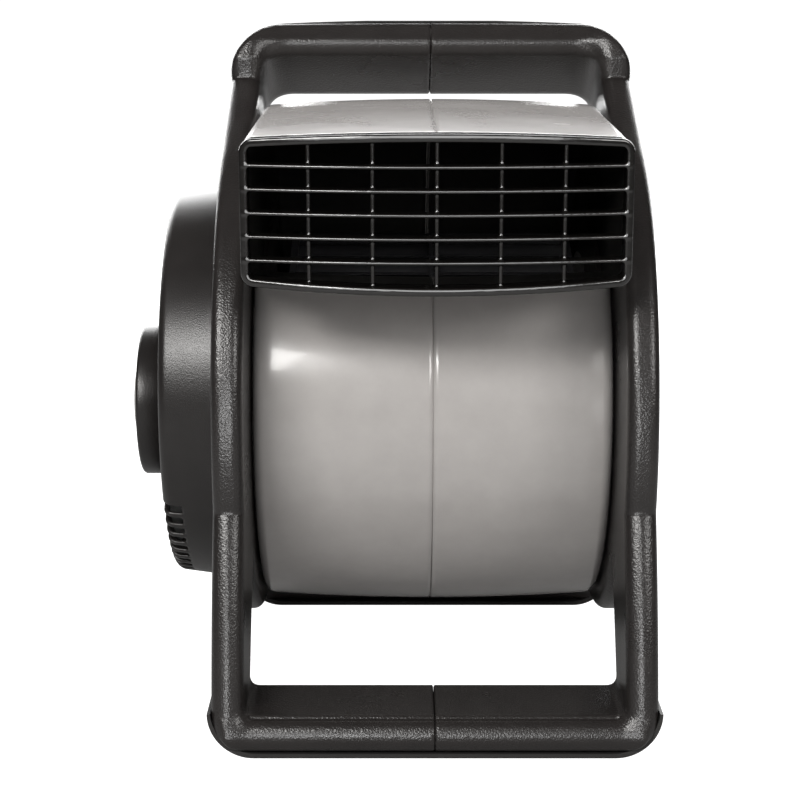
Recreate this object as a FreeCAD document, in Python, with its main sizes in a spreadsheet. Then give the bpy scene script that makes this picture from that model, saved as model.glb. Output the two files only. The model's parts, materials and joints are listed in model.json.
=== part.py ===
import FreeCAD, Part
import math
import os
import re
import Sketcher

# Pivoting utility air mover. Millimetres, +Z up, +Y to the back, +X to the right seen from the front.
# The origin is the middle of the front foot's underside. The head tilts about an axis along X
# through (pivot_y, pivot_z), and the rotor spins about the same axis.

os.makedirs("parts", exist_ok=True)
doc = FreeCAD.newDocument("air_mover")
V = FreeCAD.Vector

DRIVING_SIZES = {
    # pivot axis of the head and rotor
    "pivot_y": 217.5, "pivot_z": 187,
    # stand: two mirrored half frames, each a ring panel with legs, bars and half a handle
    "panel_inner": 122.8, "panel_outer": 144.2, "ring_radius": 212, "arch_radius": 163,
    "bore_radius": 112.05, "frame_wall": 3,
    "bar_half_depth": 32.5, "bar_height": 26, "rear_bar_front": 268, "rear_bar_height": 24,
    "corner_radius": 30, "top_corner_radius": 37, "handle_y": 232, "handle_z": 444,
    "handle_radius": 13, "handle_tilt": 35, "handle_reach": 48.5, "crown": 2.5,
    # foot strips and the band over the handle
    "strip_thickness": 3, "strip_reach": 1.8, "strip_height": 30, "band_thickness": 1.4,
    "band_low": 431,
    # joiners inside the bars and handle
    "joiner_half_length": 40, "joiner_gap": 0.15,
    # head
    "head_half_width": 121.5, "scroll_start_radius": 150, "scroll_growth": 66, "scroll_wall": 2.5,
    "cutoff_angle": 43, "mouth_y": -17.5, "mouth_top": 396.5, "mouth_bottom": 299.5,
    "mouth_bulge_radius": 495, "side_edge_radius": 11, "pivot_ring_outer": 111.95,
    "pivot_ring_inner": 104, "pivot_ring_flange": 121, "pivot_ring_reach": 141,
    # grille over the mouth
    "grille_half_width": 121, "grille_top": 397.5, "grille_bottom": 298.5, "grille_depth": 16,
    "grille_border": 6, "grille_corner": 8, "blade_pitch": 14.6, "blade_thickness": 2.2,
    "bar_pitch": 39.3, "bar_thickness": 2.4, "bar_setback": 4,
    # blower wheel
    "wheel_radius": 118, "wheel_blade_depth": 17, "wheel_half_length": 100,
    # motor cover and controls on the left
    "cover_z": 194.5, "cover_radius": 145, "cover_rim_radius": 139.5, "cover_face": 190,
    "cover_wall": 2.5, "slot_width": 6.8, "slot_pitch": 4.5, "hub_z": 180.5, "hub_radius": 55.5,
    "hub_face": 213, "dial_radius": 41, "dial_apex": 219.5,
    # motor
    "can_radius": 62, "can_outer_end": 160, "can_inner_end": 104, "shaft_radius": 6.35,
    "bearing_outer_radius": 16, "bearing_width": 9,
    # intake guard on the right
    "guard_radius": 141, "guard_dome": 15, "guard_wire": 1.6,
    # cord stowed on two hooks behind the motor cover
    "cord_radius": 3.6, "hook_radius": 186, "hook_angle": 27,
}

sheet = doc.addObject("Spreadsheet::Sheet", "Sizes")
for row, (alias, number) in enumerate(DRIVING_SIZES.items(), start=1):
    sheet.set("A%d" % row, alias)
    sheet.set("B%d" % row, str(number))
    sheet.setAlias("B%d" % row, alias)
doc.recompute()


# ---------------------------------------------------------------- helpers
def size(formula):
    """The value of a formula written with the sheet's names, such as "hub_face - 2"."""
    return float(sheet.evalExpression(str(formula)))


def bound(formula):
    """The same formula as an expression that another object can be bound to."""
    return re.sub(r"[a-z][a-z_]+", lambda found: "Sizes." + found.group(0), str(formula))


def origin_part(body, role):
    return [item for item in body.Origin.OriginFeatures if item.Role == role][0]


def place(item, x="0", y="0", z="0"):
    """Binds an object's position to formulas."""
    for axis, formula in (("x", x), ("y", y), ("z", z)):
        item.setExpression("Placement.Base." + axis, bound(formula))


def fixed_outline(sketch, corners):
    """A closed outline of straight lines, each corner held at a pair of formulas."""
    points = [V(size(across), size(up), 0) for across, up in corners]
    first = sketch.GeometryCount
    count = len(points)
    for index in range(count):
        sketch.addGeometry(Part.LineSegment(points[index], points[(index + 1) % count]), False)
    for index in range(count):
        following = first + (index + 1) % count
        sketch.addConstraint(Sketcher.Constraint("Coincident", first + index, 2, following, 1))
    for index, corner in enumerate(corners):
        for kind, formula in zip(("DistanceX", "DistanceY"), corner):
            number = sketch.addConstraint(
                Sketcher.Constraint(kind, -1, 1, first + index, 1, size(formula)))
            name = "%s_%d" % (kind, first + index)
            sketch.renameConstraint(number, name)
            sketch.setExpression("Constraints." + name, bound(formula))


def fixed_circle(sketch, radius, across="0", up="0"):
    """A circle whose centre and radius are formulas."""
    number = sketch.GeometryCount
    centre = V(size(across), size(up), 0)
    sketch.addGeometry(Part.Circle(centre, V(0, 0, 1), size(radius)), False)
    for kind, formula in (("DistanceX", across), ("DistanceY", up)):
        constraint = sketch.addConstraint(Sketcher.Constraint(kind, -1, 1, number, 3, size(formula)))
        name = "%s_%d" % (kind, number)
        sketch.renameConstraint(constraint, name)
        sketch.setExpression("Constraints." + name, bound(formula))
    constraint = sketch.addConstraint(Sketcher.Constraint("Radius", number, size(radius)))
    sketch.renameConstraint(constraint, "radius_%d" % number)
    sketch.setExpression("Constraints.radius_%d" % number, bound(radius))


def sketch_on(body, role, name, offset="0"):
    sketch = body.newObject("Sketcher::SketchObject", name)
    sketch.AttachmentSupport = [(origin_part(body, role), "")]
    sketch.MapMode = "FlatFace"
    sketch.setExpression("AttachmentOffset.Base.z", bound(offset))
    return sketch


def new_body(label):
    body = doc.addObject("PartDesign::Body", label)
    body.Label = label
    return body


def turned(label, corners, y="pivot_y", z="pivot_z"):
    """A piece turned about an axis along X. Corners are (position along X, radius) formulas."""
    body = new_body(label)
    sketch = sketch_on(body, "XZ_Plane", label + "_profile")
    fixed_outline(sketch, corners)
    turn = body.newObject("PartDesign::Revolution", label + "_turn")
    turn.Profile = sketch
    turn.ReferenceAxis = (sketch, ["H_Axis"])
    turn.Angle = 360
    place(body, "0", y, z)
    return body


def tube(label, near, far, outer, inner, y="pivot_y", z="pivot_z"):
    """A turned ring between two positions along X."""
    return turned(label, [(near, inner), (far, inner), (far, outer), (near, outer)], y, z)


def padded(label, role, start, length, outlines=(), circles=()):
    """A pad of a sketch on one of the body's origin planes, from start over length."""
    body = new_body(label)
    sketch = sketch_on(body, role, label + "_profile", start)
    for corners in outlines:
        fixed_outline(sketch, corners)
    for circle in circles:
        fixed_circle(sketch, *circle)
    pad = body.newObject("PartDesign::Pad", label + "_pad")
    pad.Profile = sketch
    pad.setExpression("Length", bound(length))
    return body


def shaped(label, shape):
    """A sub-part whose shape is worked out below from the sheet."""
    feature = doc.addObject("Part::Feature", label)
    feature.Label = label
    feature.Shape = shape
    return feature


def mirrored(shape):
    """The same shape on the other side of the middle plane X = 0."""
    return shape.mirror(V(0, 0, 0), V(1, 0, 0))


def line(start, end):
    return Part.LineSegment(start, end).toShape()


def arc(start, middle, end):
    return Part.Arc(start, middle, end).toShape()


def extrude(edges, direction):
    face = Part.Face(Part.Wire(Part.__sortEdges__(edges)))
    return face.extrude(direction)


def swept_tube(edges, start, heading, radius):
    """A round bar along a path of lines and arcs."""
    path = Part.Wire(edges)
    section = Part.Wire([Part.Circle(start, heading, radius).toShape()])
    return path.makePipeShell([section], True, False)


def around_pivot(radius, angle):
    """A point in the plane X = 0. Angle 0 is straight up, and it grows towards the back."""
    turn = math.radians(angle)
    return V(0, PIVOT.y + radius * math.sin(turn), PIVOT.z + radius * math.cos(turn))


def axial_cylinder(radius, near, far, y, z):
    return Part.makeCylinder(radius, far - near, V(near, y, z), V(1, 0, 0))


def screws(label, stations, length, radius=2.1):
    """Identical pan-head screws. A station is the seat under the head and the direction of the tip."""
    shapes = []
    for seat, axis in stations:
        head = Part.makeCylinder(radius * 2, radius * 1.2, seat - axis * radius * 1.2, axis)
        shank = Part.makeCylinder(radius, length, seat, axis)
        drive = Part.makeCylinder(radius * 0.7, radius * 0.8, seat - axis * radius * 1.2, axis)
        shapes.append(head.fuse(shank).cut(drive).removeSplitter())
    return shaped(label, Part.makeCompound(shapes))


def drilled(shape, stations, depth, radius):
    """The shape with a hole for each screw station."""
    holes = [Part.makeCylinder(radius, depth + 1, seat - axis, axis) for seat, axis in stations]
    return shape.cut(Part.makeCompound(holes))


PIVOT = V(0, size("pivot_y"), size("pivot_z"))
INNER = size("panel_inner")
OUTER = size("panel_outer")
SCREW_HOLE = 2.15
CONTACT_GAP = 0.02


# ---------------------------------------------------------------- stand: half frames
RING = size("ring_radius")
ARCH = size("arch_radius")
BAR = size("bar_half_depth")
BAR_TOP = size("bar_height")
STRIP = size("strip_thickness")
HANDLE = V(0, size("handle_y"), size("handle_z"))
TUBE = size("handle_radius")
TILT = math.radians(size("handle_tilt"))
HANDLE_REAR = HANDLE + V(0, math.cos(TILT), -math.sin(TILT)) * size("handle_reach")
HANDLE_UP = V(0, math.sin(TILT), math.cos(TILT))
RING_LEAVES_FRONT = -26.5
RING_MEETS_LEG = -99.5
RING_REAR = 110
ARCH_UNDER = 190
ARCH_MEETS_LEG = 237
FRONT_SOLE = 7.5
BAR_MIDDLE = 12
LEG_FRONT = V(0, -11.5, 98)
REAR_BACK = PIVOT.y + math.sqrt(RING ** 2 - (PIVOT.z - STRIP) ** 2)
SPIDER_TURNS = (0, 120, 240)
SPIDER_SCREW_RADIUS = 128
GUARD_TURNS = (45, 135, 225, 315)
GUARD_SCREW_RADIUS = 131


def panel_edges(x):
    """Side outline of a half frame: front leg, ring, handle end and rear foot, in the plane at x."""
    front_foot = V(0, FRONT_SOLE - BAR, STRIP)
    front_bulge = V(0, -BAR, STRIP + BAR_MIDDLE)
    leg_top = around_pivot(RING, RING_MEETS_LEG)
    ring_front = around_pivot(RING, (RING_MEETS_LEG + RING_LEAVES_FRONT) / 2)
    ring_leaves = around_pivot(RING, RING_LEAVES_FRONT)
    shoulder = HANDLE + V(0, -22.5, -25)
    lip = HANDLE + V(0, -23, -11)
    handle_front = HANDLE + V(0, -1, 1).normalize() * TUBE
    handle_top = HANDLE + HANDLE_UP * TUBE
    handle_back_top = HANDLE_REAR + HANDLE_UP * TUBE
    spread = HANDLE_REAR - PIVOT
    lean = math.degrees(math.atan2(spread.y, spread.z) + math.acos((RING - TUBE) / spread.Length))
    back_normal = (around_pivot(1, lean) - PIVOT).normalize()
    handle_back = HANDLE_REAR + back_normal * TUBE
    handle_corner = HANDLE_REAR + (HANDLE_UP + back_normal).normalize() * TUBE
    ring_back = around_pivot(RING, lean)
    ring_rear = around_pivot(RING, RING_REAR)
    foot_back = around_pivot(RING, 180 - math.degrees(math.acos((PIVOT.z - STRIP) / RING)))
    foot_front = V(0, size("rear_bar_front"), STRIP)
    arch_back_angle = 180 - math.degrees(math.asin((foot_front.y - PIVOT.y) / ARCH))
    arch_back = around_pivot(ARCH, arch_back_angle)
    arch_low = around_pivot(ARCH, ARCH_UNDER)
    arch_front = around_pivot(ARCH, ARCH_MEETS_LEG)
    leg_back = V(0, BAR, STRIP + 10)
    sole_back = V(0, BAR - 6, STRIP)
    edges = [
        arc(front_foot, V(0, -BAR + 2.5, STRIP + 4), front_bulge),
        arc(front_bulge, LEG_FRONT, leg_top),
        arc(leg_top, ring_front, ring_leaves),
        line(ring_leaves, shoulder),
        line(shoulder, lip),
        line(lip, handle_front),
        arc(handle_front, HANDLE + V(0, 0, TUBE), handle_top),
        line(handle_top, handle_back_top),
        arc(handle_back_top, handle_corner, handle_back),
        line(handle_back, ring_back),
        arc(ring_back, ring_rear, foot_back),
        line(foot_back, foot_front),
        line(foot_front, arch_back),
        arc(arch_back, arch_low, arch_front),
        line(arch_front, leg_back),
        line(leg_back, sole_back),
        line(sole_back, front_foot),
    ]
    for edge in edges:
        edge.translate(V(x, 0, 0))
    return edges


def slot_section(front, rear, radius, x):
    """A stadium round two centres in the plane at x: the handle's section."""
    along = (rear - front).normalize()
    across = V(0, -along.z, along.y)
    edges = [
        arc(front - across * radius, front - along * radius, front + across * radius),
        line(front + across * radius, rear + across * radius),
        arc(rear + across * radius, rear + along * radius, rear - across * radius),
        line(rear - across * radius, front - across * radius),
    ]
    for edge in edges:
        edge.translate(V(x, 0, 0))
    return edges


def bar_section(front, back, low, high, inset, x):
    """A rectangle with a rounded front, in the plane at x: the section of a base bar."""
    reach = (high - low) / 2 - inset
    middle = (high + low) / 2
    centre = front + (high - low) / 2
    edges = [
        arc(V(x, centre, middle - reach), V(x, centre - reach, middle), V(x, centre, middle + reach)),
        line(V(x, centre, middle + reach), V(x, back - inset, middle + reach)),
        line(V(x, back - inset, middle + reach), V(x, back - inset, middle - reach)),
        line(V(x, back - inset, middle - reach), V(x, centre, middle - reach)),
    ]
    return edges


def front_outline(inset, low, reach=0.0):
    """Front view of the whole stand, rounded at its four corners, as a solid along Y."""
    half = OUTER - inset + reach
    top = HANDLE.z + TUBE - inset
    bend = size("corner_radius") - inset
    top_bend = size("top_corner_radius") - inset
    crown = size("crown")
    slant = 1 - math.sqrt(0.5)
    shoulder = top - crown
    right = [
        line(V(0, 0, low), V(half - bend, 0, low)),
        arc(V(half - bend, 0, low), V(half - bend * slant, 0, low + bend * slant), V(half, 0, low + bend)),
        line(V(half, 0, low + bend), V(half, 0, shoulder - top_bend)),
        arc(V(half, 0, shoulder - top_bend), V(half - top_bend * slant, 0, shoulder - top_bend * slant),
            V(half - top_bend, 0, shoulder)),
    ]
    cap = [arc(V(half - top_bend, 0, shoulder), V(0, 0, top), V(top_bend - half, 0, shoulder))]
    left = [mirrored(edge) for edge in right]
    solid = extrude(right + cap + left, V(0, 700, 0))
    solid.translate(V(0, -150, 0))
    return solid


def stand_body(inset):
    """The left half of the stand, with every surface moved in by the inset, or out if it is negative."""
    low = STRIP + inset
    panel_face = Part.Face(Part.Wire(Part.__sortEdges__(panel_edges(0))))
    if inset:
        panel_face = panel_face.makeOffset2D(-inset)
    panel_depth = OUTER - INNER - 2 * inset
    panel = panel_face.extrude(V(panel_depth, 0, 0))
    panel.translate(V(-OUTER + inset, 0, 0))
    reach = INNER + 4
    front = extrude(bar_section(-BAR, BAR, STRIP, BAR_TOP, inset, -reach), V(reach, 0, 0))
    rear_front = size("rear_bar_front")
    rear_top = size("rear_bar_height")
    rear = extrude(bar_section(rear_front, REAR_BACK, STRIP, rear_top, inset, -reach), V(reach, 0, 0))
    grip = extrude(slot_section(HANDLE, HANDLE_REAR, TUBE - inset, -reach), V(reach, 0, 0))
    body = panel.multiFuse([front, rear, grip])
    bore = axial_cylinder(size("bore_radius") + inset, -OUTER - 1, -INNER + 1, PIVOT.y, PIVOT.z)
    return body.cut(bore).common(front_outline(inset, low))


def joiner_stations():
    """Where screws go through the bars and the handle into the joiners."""
    handle_along = (HANDLE_REAR - HANDLE).normalize()
    handle_end = HANDLE_REAR + handle_along * TUBE
    rear_back = V(0, REAR_BACK, (STRIP + size("rear_bar_height")) / 2)
    front_back = V(0, BAR, (STRIP + BAR_TOP) / 2)
    stations = []
    for offset in (V(-25, 0, 0), V(25, 0, 0)):
        stations.append((front_back + offset, V(0, -1, 0)))
        stations.append((rear_back + offset, V(0, -1, 0)))
        stations.append((handle_end + offset, handle_along * -1))
    return stations


def panel_stations(turns, radius, side):
    """Screw seats round the bore on the outer face of a half frame."""
    points = [around_pivot(radius, turn) for turn in turns]
    return [(V(side * OUTER, point.y, point.z), V(-side, 0, 0)) for point in points]


def make_half_frames():
    """Hollow half frames, open at the seam, where the joiners slide in."""
    hollow = stand_body(size("frame_wall"))
    half = stand_body(0).cut(hollow)
    half = drilled(half, joiner_stations(), 6, SCREW_HOLE)
    left = drilled(half, panel_stations(SPIDER_TURNS, SPIDER_SCREW_RADIUS, -1), 6, SCREW_HOLE)
    right = drilled(mirrored(half), panel_stations(GUARD_TURNS, GUARD_SCREW_RADIUS, 1), 6, SCREW_HOLE)
    shaped("frame_left", left.removeSplitter())
    shaped("frame_right", right.removeSplitter())


def make_joiners():
    """Short sleeves that sit inside both halves at the seam."""
    half_length = size("joiner_half_length")
    inset = size("frame_wall") + size("joiner_gap")
    wall = 2.4
    along = V(2 * half_length, 0, 0)
    sections = {
        "joiner_front": lambda gap: bar_section(-BAR, BAR, STRIP, BAR_TOP, gap, -half_length),
        "joiner_rear": lambda gap: bar_section(
            size("rear_bar_front"), REAR_BACK, STRIP, size("rear_bar_height"), gap, -half_length),
        "joiner_handle": lambda gap: slot_section(HANDLE, HANDLE_REAR, TUBE - gap, -half_length),
    }
    for label, section in sections.items():
        sleeve = extrude(section(inset), along).cut(extrude(section(inset + wall), along))
        if label == "joiner_handle":
            sleeve = sleeve.common(front_outline(inset, STRIP + inset))
        shaped(label, drilled(sleeve, joiner_stations(), 9, SCREW_HOLE).removeSplitter())
    screws("joiner_screws", joiner_stations(), 8)


def make_strips():
    """Foot strips under both bars, turned up round the corners."""
    outer = front_outline(0, 0, size("strip_reach"))
    inner = front_outline(-CONTACT_GAP, STRIP - CONTACT_GAP)
    height = size("strip_height")
    spans = {
        "front_foot_strip": (-BAR + 5, BAR - 5),
        "rear_foot_strip": (size("rear_bar_front") + 0.5, REAR_BACK - 6),
    }
    for label, (near, far) in spans.items():
        zone = Part.makeBox(400, far - near, height, V(-200, near, 0))
        shaped(label, outer.cut(inner).common(zone).removeSplitter())


def make_handle_band():
    """A thin band that wraps the handle and ends in small lips at the two upper corners."""
    left = stand_body(-size("band_thickness")).cut(stand_body(-CONTACT_GAP))
    slab = Part.makeBox(400, 30, 60, V(-200, -5, 1 - TUBE))
    slab.rotate(V(0, 0, 0), V(1, 0, 0), -size("handle_tilt"))
    slab.translate(HANDLE)
    above = Part.makeBox(400, 200, 60, V(-200, HANDLE.y - 60, size("band_low")))
    left = left.common(slab).common(above)
    shaped("handle_band", left.fuse(mirrored(left)).removeSplitter())


make_half_frames()
make_joiners()
make_strips()
make_handle_band()


# ---------------------------------------------------------------- head: scroll, nozzle, pivot rings
HALF = size("head_half_width")
WALL = size("scroll_wall")
MOUTH_Y = size("mouth_y")
BULGE = size("mouth_bulge_radius")
GRILLE_DEPTH = size("grille_depth")
SEAM_TURNS = (150, 190, 230)
SPIRAL_STEPS = 16


def scroll_point(turn, inset):
    """A point of the scroll's outline. The turn runs from the front, down, back and up to the top."""
    grown = size("scroll_start_radius") + size("scroll_growth") * max(0.0, turn / 270) ** 2.2
    radius = grown - inset
    angle = math.radians(turn)
    return V(0, PIVOT.y - radius * math.cos(angle), PIVOT.z - radius * math.sin(angle))


def scroll_solid(inset):
    """The scroll and its duct as a solid from the left side wall to the seam."""
    start = -size("cutoff_angle")
    turns = [start + (270 - start) * step / SPIRAL_STEPS for step in range(SPIRAL_STEPS + 1)]
    spiral = Part.BSplineCurve()
    spiral.interpolate([scroll_point(turn, inset) for turn in turns])
    front = MOUTH_Y - 20
    duct_top = V(0, front, size("mouth_top") - inset)
    duct_bottom = V(0, front, size("mouth_bottom") + inset)
    top = scroll_point(270, inset)
    cutoff = scroll_point(start, inset)
    edges = [spiral.toShape(), line(top, duct_top), line(duct_top, duct_bottom), line(duct_bottom, cutoff)]
    solid = extrude(edges, V(HALF - inset, 0, 0))
    solid.translate(V(inset - HALF, 0, 0))
    rounded = [edge for edge in solid.Edges
               if abs(edge.BoundBox.XMax + HALF - inset) < 0.01 and edge.BoundBox.YMax > front + 1]
    return solid.makeFillet(size("side_edge_radius") - inset, rounded)


def bulge_cylinder(setback):
    """The upright cylinder whose front bulges forward like the mouth, setback behind its face."""
    return Part.makeCylinder(BULGE - setback, 700, V(0, MOUTH_Y + BULGE, -50))


def seam_bosses(inset):
    """Round bosses across the seam on the back of the scroll, less the inset."""
    bosses = []
    for turn in SEAM_TURNS:
        centre = scroll_point(turn, -5.5)
        bosses.append(axial_cylinder(6.5 - inset, -12, 0, centre.y, centre.z))
    return bosses


def make_scroll_halves():
    """Two shells that meet at the middle, screwed together through bosses behind."""
    hollow = scroll_solid(WALL)
    shell = scroll_solid(0).multiFuse(seam_bosses(0)).cut(hollow)
    shell = shell.common(bulge_cylinder(GRILLE_DEPTH + CONTACT_GAP))
    ring_hole = size("pivot_ring_outer") + 0.05
    shell = shell.cut(axial_cylinder(ring_hole, -HALF - 1, -HALF + 20, PIVOT.y, PIVOT.z))
    for boss_hole in seam_bosses(6.5 - SCREW_HOLE):
        shell = shell.cut(boss_hole)
    half = shell.removeSplitter()
    shaped("scroll_left", half)
    shaped("scroll_right", mirrored(half))
    seats = [scroll_point(turn, -5.5) + V(-12, 0, 0) for turn in SEAM_TURNS]
    screws("scroll_screws", [(seat, V(1, 0, 0)) for seat in seats], 20)


def make_pivot_rings():
    """Flanged rings fixed in the scroll's side walls, which turn in the bores of the half frames."""
    wall_inside = "(head_half_width - scroll_wall - 0.02)"
    for label, sign in (("pivot_ring_left", "-1"), ("pivot_ring_right", "1")):
        turned(label, [
            (sign + " * pivot_ring_reach", "pivot_ring_inner"),
            (sign + " * pivot_ring_reach", "pivot_ring_outer"),
            (sign + " * " + wall_inside, "pivot_ring_outer"),
            (sign + " * " + wall_inside, "pivot_ring_flange"),
            (sign + " * (" + wall_inside + " - 3)", "pivot_ring_flange"),
            (sign + " * (" + wall_inside + " - 9)", "pivot_ring_inner"),
        ])


def make_friction_rings():
    """Felt rings between the scroll and each half frame, which hold the head at its tilt."""
    for label, sign in (("friction_ring_left", "-1"), ("friction_ring_right", "1")):
        tube(label, sign + " * (head_half_width + 0.1)", sign + " * (panel_inner - 0.02)",
             "bore_radius + 16", "bore_radius + 0.4")


def rounded_prism(half_width, low, high, corner, near, far):
    """A rectangle with rounded corners in front view, extended along Y."""
    block = Part.makeBox(2 * half_width, far - near, high - low, V(-half_width, near, low))
    upright = [edge for edge in block.Edges if abs(edge.tangentAt(edge.FirstParameter).y) > 0.99]
    return block.makeFillet(corner, upright)


def make_grille():
    """Border, level blades and set-back upright bars, all bulged forward in plan."""
    half = size("grille_half_width")
    low = size("grille_bottom")
    high = size("grille_top")
    border = size("grille_border")
    corner = size("grille_corner")
    near = MOUTH_Y - 2
    far = MOUTH_Y + 40
    outer = rounded_prism(half, low, high, corner, near, far)
    opening = rounded_prism(half - border, low + border, high - border, corner - 3, near - 1, far + 1)
    shell = bulge_cylinder(0).cut(bulge_cylinder(GRILLE_DEPTH))
    frame = outer.cut(opening).common(shell)
    thickness = size("blade_thickness")
    middle = (low + high) / 2
    blade_shell = bulge_cylinder(0.8).cut(bulge_cylinder(GRILLE_DEPTH - 2))
    width = size("bar_thickness")
    bar_shell = bulge_cylinder(size("bar_setback")).cut(bulge_cylinder(GRILLE_DEPTH - 0.5))
    pieces = []
    for number in range(-2, 3):
        level = middle + number * size("blade_pitch") - thickness / 2
        blade = Part.makeBox(2 * half - 6, 60, thickness, V(3 - half, near, level))
        pieces.append(blade.common(blade_shell))
        station = number * size("bar_pitch") - width / 2
        bar = Part.makeBox(width, 60, high - low - 4, V(station, near, low + 2))
        pieces.append(bar.common(bar_shell))
    gap = WALL + 0.3
    bend = size("side_edge_radius") - WALL
    skirt = rounded_prism(HALF - gap, size("mouth_bottom") + gap, size("mouth_top") - gap, bend, near, far)
    inset = gap + 2
    inside = rounded_prism(HALF - inset, size("mouth_bottom") + inset, size("mouth_top") - inset,
                           bend - 2, near - 1, far + 1)
    skirt_shell = bulge_cylinder(GRILLE_DEPTH - 2).cut(bulge_cylinder(GRILLE_DEPTH + 8))
    pieces.append(skirt.cut(inside).common(skirt_shell))
    shaped("nozzle_grille", frame.multiFuse(pieces).removeSplitter())


make_scroll_halves()
make_pivot_rings()
make_friction_rings()
make_grille()


# ---------------------------------------------------------------- rotor
def make_blower_wheel():
    """A double-inlet wheel: middle disc, two end rings and forward-curved blades."""
    outer = size("wheel_radius")
    depth = size("wheel_blade_depth")
    half = size("wheel_half_length")
    disc = axial_cylinder(outer - 1, -1.5, 1.5, PIVOT.y, PIVOT.z)
    boss = axial_cylinder(24, -8, 8, PIVOT.y, PIVOT.z)
    pieces = [boss]
    for near in (-half, half - 5):
        ring = axial_cylinder(outer, near, near + 5, PIVOT.y, PIVOT.z)
        pieces.append(ring.cut(axial_cylinder(outer - 4, near - 1, near + 6, PIVOT.y, PIVOT.z)))
    root = V(-half + 1, PIVOT.y, PIVOT.z + outer - depth)
    tip = V(-half + 1, PIVOT.y - 7, PIVOT.z + outer - 1)
    belly = V(-half + 1, PIVOT.y + 1.2, PIVOT.z + outer - depth / 2)
    shift = V(0, 1.3, 0)
    edges = [
        arc(root, belly, tip), line(tip, tip + shift),
        arc(tip + shift, belly + shift, root + shift), line(root + shift, root),
    ]
    blade = extrude(edges, V(2 * half - 2, 0, 0))
    for number in range(WHEEL_BLADES):
        turned_blade = blade.copy()
        turned_blade.rotate(PIVOT, V(1, 0, 0), 360 / WHEEL_BLADES * number)
        pieces.append(turned_blade)
    wheel = disc.multiFuse(pieces)
    shaped("blower_wheel", wheel.cut(axial_cylinder(14.02, -9, 9, PIVOT.y, PIVOT.z)))


def make_rotor():
    tube("motor_shaft", "-(can_outer_end + 7)", "24", "shaft_radius", "0.6")
    tube("rotor_core", "-(can_outer_end - 14)", "-(can_inner_end + 14)", "34", "shaft_radius + 0.01")
    hub = tube("wheel_hub", "-10", "18", "14", "shaft_radius + 0.01")
    sketch = sketch_on(hub, "XY_Plane", "wheel_hub_screw_circle")
    fixed_circle(sketch, "2.55", "13", "0")
    hole = hub.newObject("PartDesign::Pocket", "wheel_hub_screw_hole")
    hole.Profile = sketch
    hole.Length = 20
    hole.Reversed = True
    hub.Tip = hole
    screw = padded("set_screw", "XY_Plane", "shaft_radius + 0.3", "7", circles=[("2.5", "13", "0")])
    place(screw, "0", "pivot_y", "pivot_z")
    make_blower_wheel()


WHEEL_BLADES = 36
make_rotor()


# ---------------------------------------------------------------- motor
def make_motor():
    tube("motor_can", "-can_outer_end", "-can_inner_end", "can_radius", "can_radius - 2")
    for label, near, sign in (("end_bell_outer", "-can_outer_end", "-1"),
                              ("end_bell_inner", "-can_inner_end", "1")):
        face = near + " + " + sign + " * 0.02"
        rim = near + " + " + sign + " * 3"
        back = near + " - " + sign + " * 0.5"
        seat = near + " - " + sign + " * 6.5"
        turned(label, [
            (face, "can_radius"), (rim, "can_radius - 1.5"), (rim, "shaft_radius + 1"),
            (face, "shaft_radius + 1"), (face, "bearing_outer_radius + 0.01"),
            (seat, "bearing_outer_radius + 0.01"), (seat, "bearing_outer_radius + 3"),
            (back, "bearing_outer_radius + 3"), (back, "can_radius - 2.1"), (face, "can_radius - 2.1"),
        ])
    tube("bearing_outer", "-(can_outer_end - 0.1)", "-(can_outer_end - bearing_width)",
         "bearing_outer_radius", "shaft_radius + 0.02")
    tube("bearing_inner", "-(can_inner_end + bearing_width)", "-(can_inner_end + 0.1)",
         "bearing_outer_radius", "shaft_radius + 0.02")
    tube("stator_core", "-(can_outer_end - 12)", "-(can_inner_end + 12)", "can_radius - 2.1", "34.6")


def make_spider():
    """A ring on the half frame's outer face, with three arms to a collar round the motor can."""
    near = -OUTER - SPIDER_THICKNESS
    far = -OUTER - CONTACT_GAP
    rim = size("cover_radius - cover_wall - 2")
    can = size("can_radius")
    ring = axial_cylinder(rim, near, far, PIVOT.y, size("cover_z"))
    ring = ring.cut(axial_cylinder(SPIDER_OPENING, near - 1, far + 1, PIVOT.y, PIVOT.z))
    collar = axial_cylinder(can + 4, near - 5, far, PIVOT.y, PIVOT.z)
    can_hole = axial_cylinder(can + 0.03, near - 6, far + 1, PIVOT.y, PIVOT.z)
    pieces = [collar]
    for turn in SPIDER_TURNS:
        corner = V(near, PIVOT.y - SPIDER_ARM_WIDTH / 2, PIVOT.z + can + 1)
        arm = Part.makeBox(far - near, SPIDER_ARM_WIDTH, SPIDER_OPENING + 4 - can, corner)
        arm.rotate(PIVOT, V(1, 0, 0), -turn)
        pieces.append(arm)
    spider = ring.multiFuse(pieces).cut(can_hole)
    grommets = []
    stations = []
    for turn in SPIDER_TURNS:
        centre = around_pivot(SPIDER_SCREW_RADIUS, turn)
        spider = spider.cut(axial_cylinder(6.02, near - 1, far + 1, centre.y, centre.z))
        grommet = axial_cylinder(6, near - 1.5, far, centre.y, centre.z)
        grommets.append(grommet.cut(axial_cylinder(SCREW_HOLE, near - 3, far + 1, centre.y, centre.z)))
        stations.append((V(near - 1.5 - CONTACT_GAP, centre.y, centre.z), V(1, 0, 0)))
    spider = drilled(spider, cover_stations(), 14, 1.55)
    shaped("motor_spider", spider.removeSplitter())
    shaped("motor_grommets", Part.makeCompound(grommets))
    screws("spider_screws", stations, SPIDER_THICKNESS + 4)


def cover_stations():
    """Radial screws through the motor cover's edge into the spider's ring."""
    centre = V(-OUTER - COVER_SCREW_SETBACK, PIVOT.y, size("cover_z"))
    stations = []
    for turn in COVER_SCREW_TURNS:
        outward = around_pivot(1, turn) - PIVOT
        stations.append((centre + outward * (size("cover_radius") + CONTACT_GAP), outward * -1))
    return stations


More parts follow.
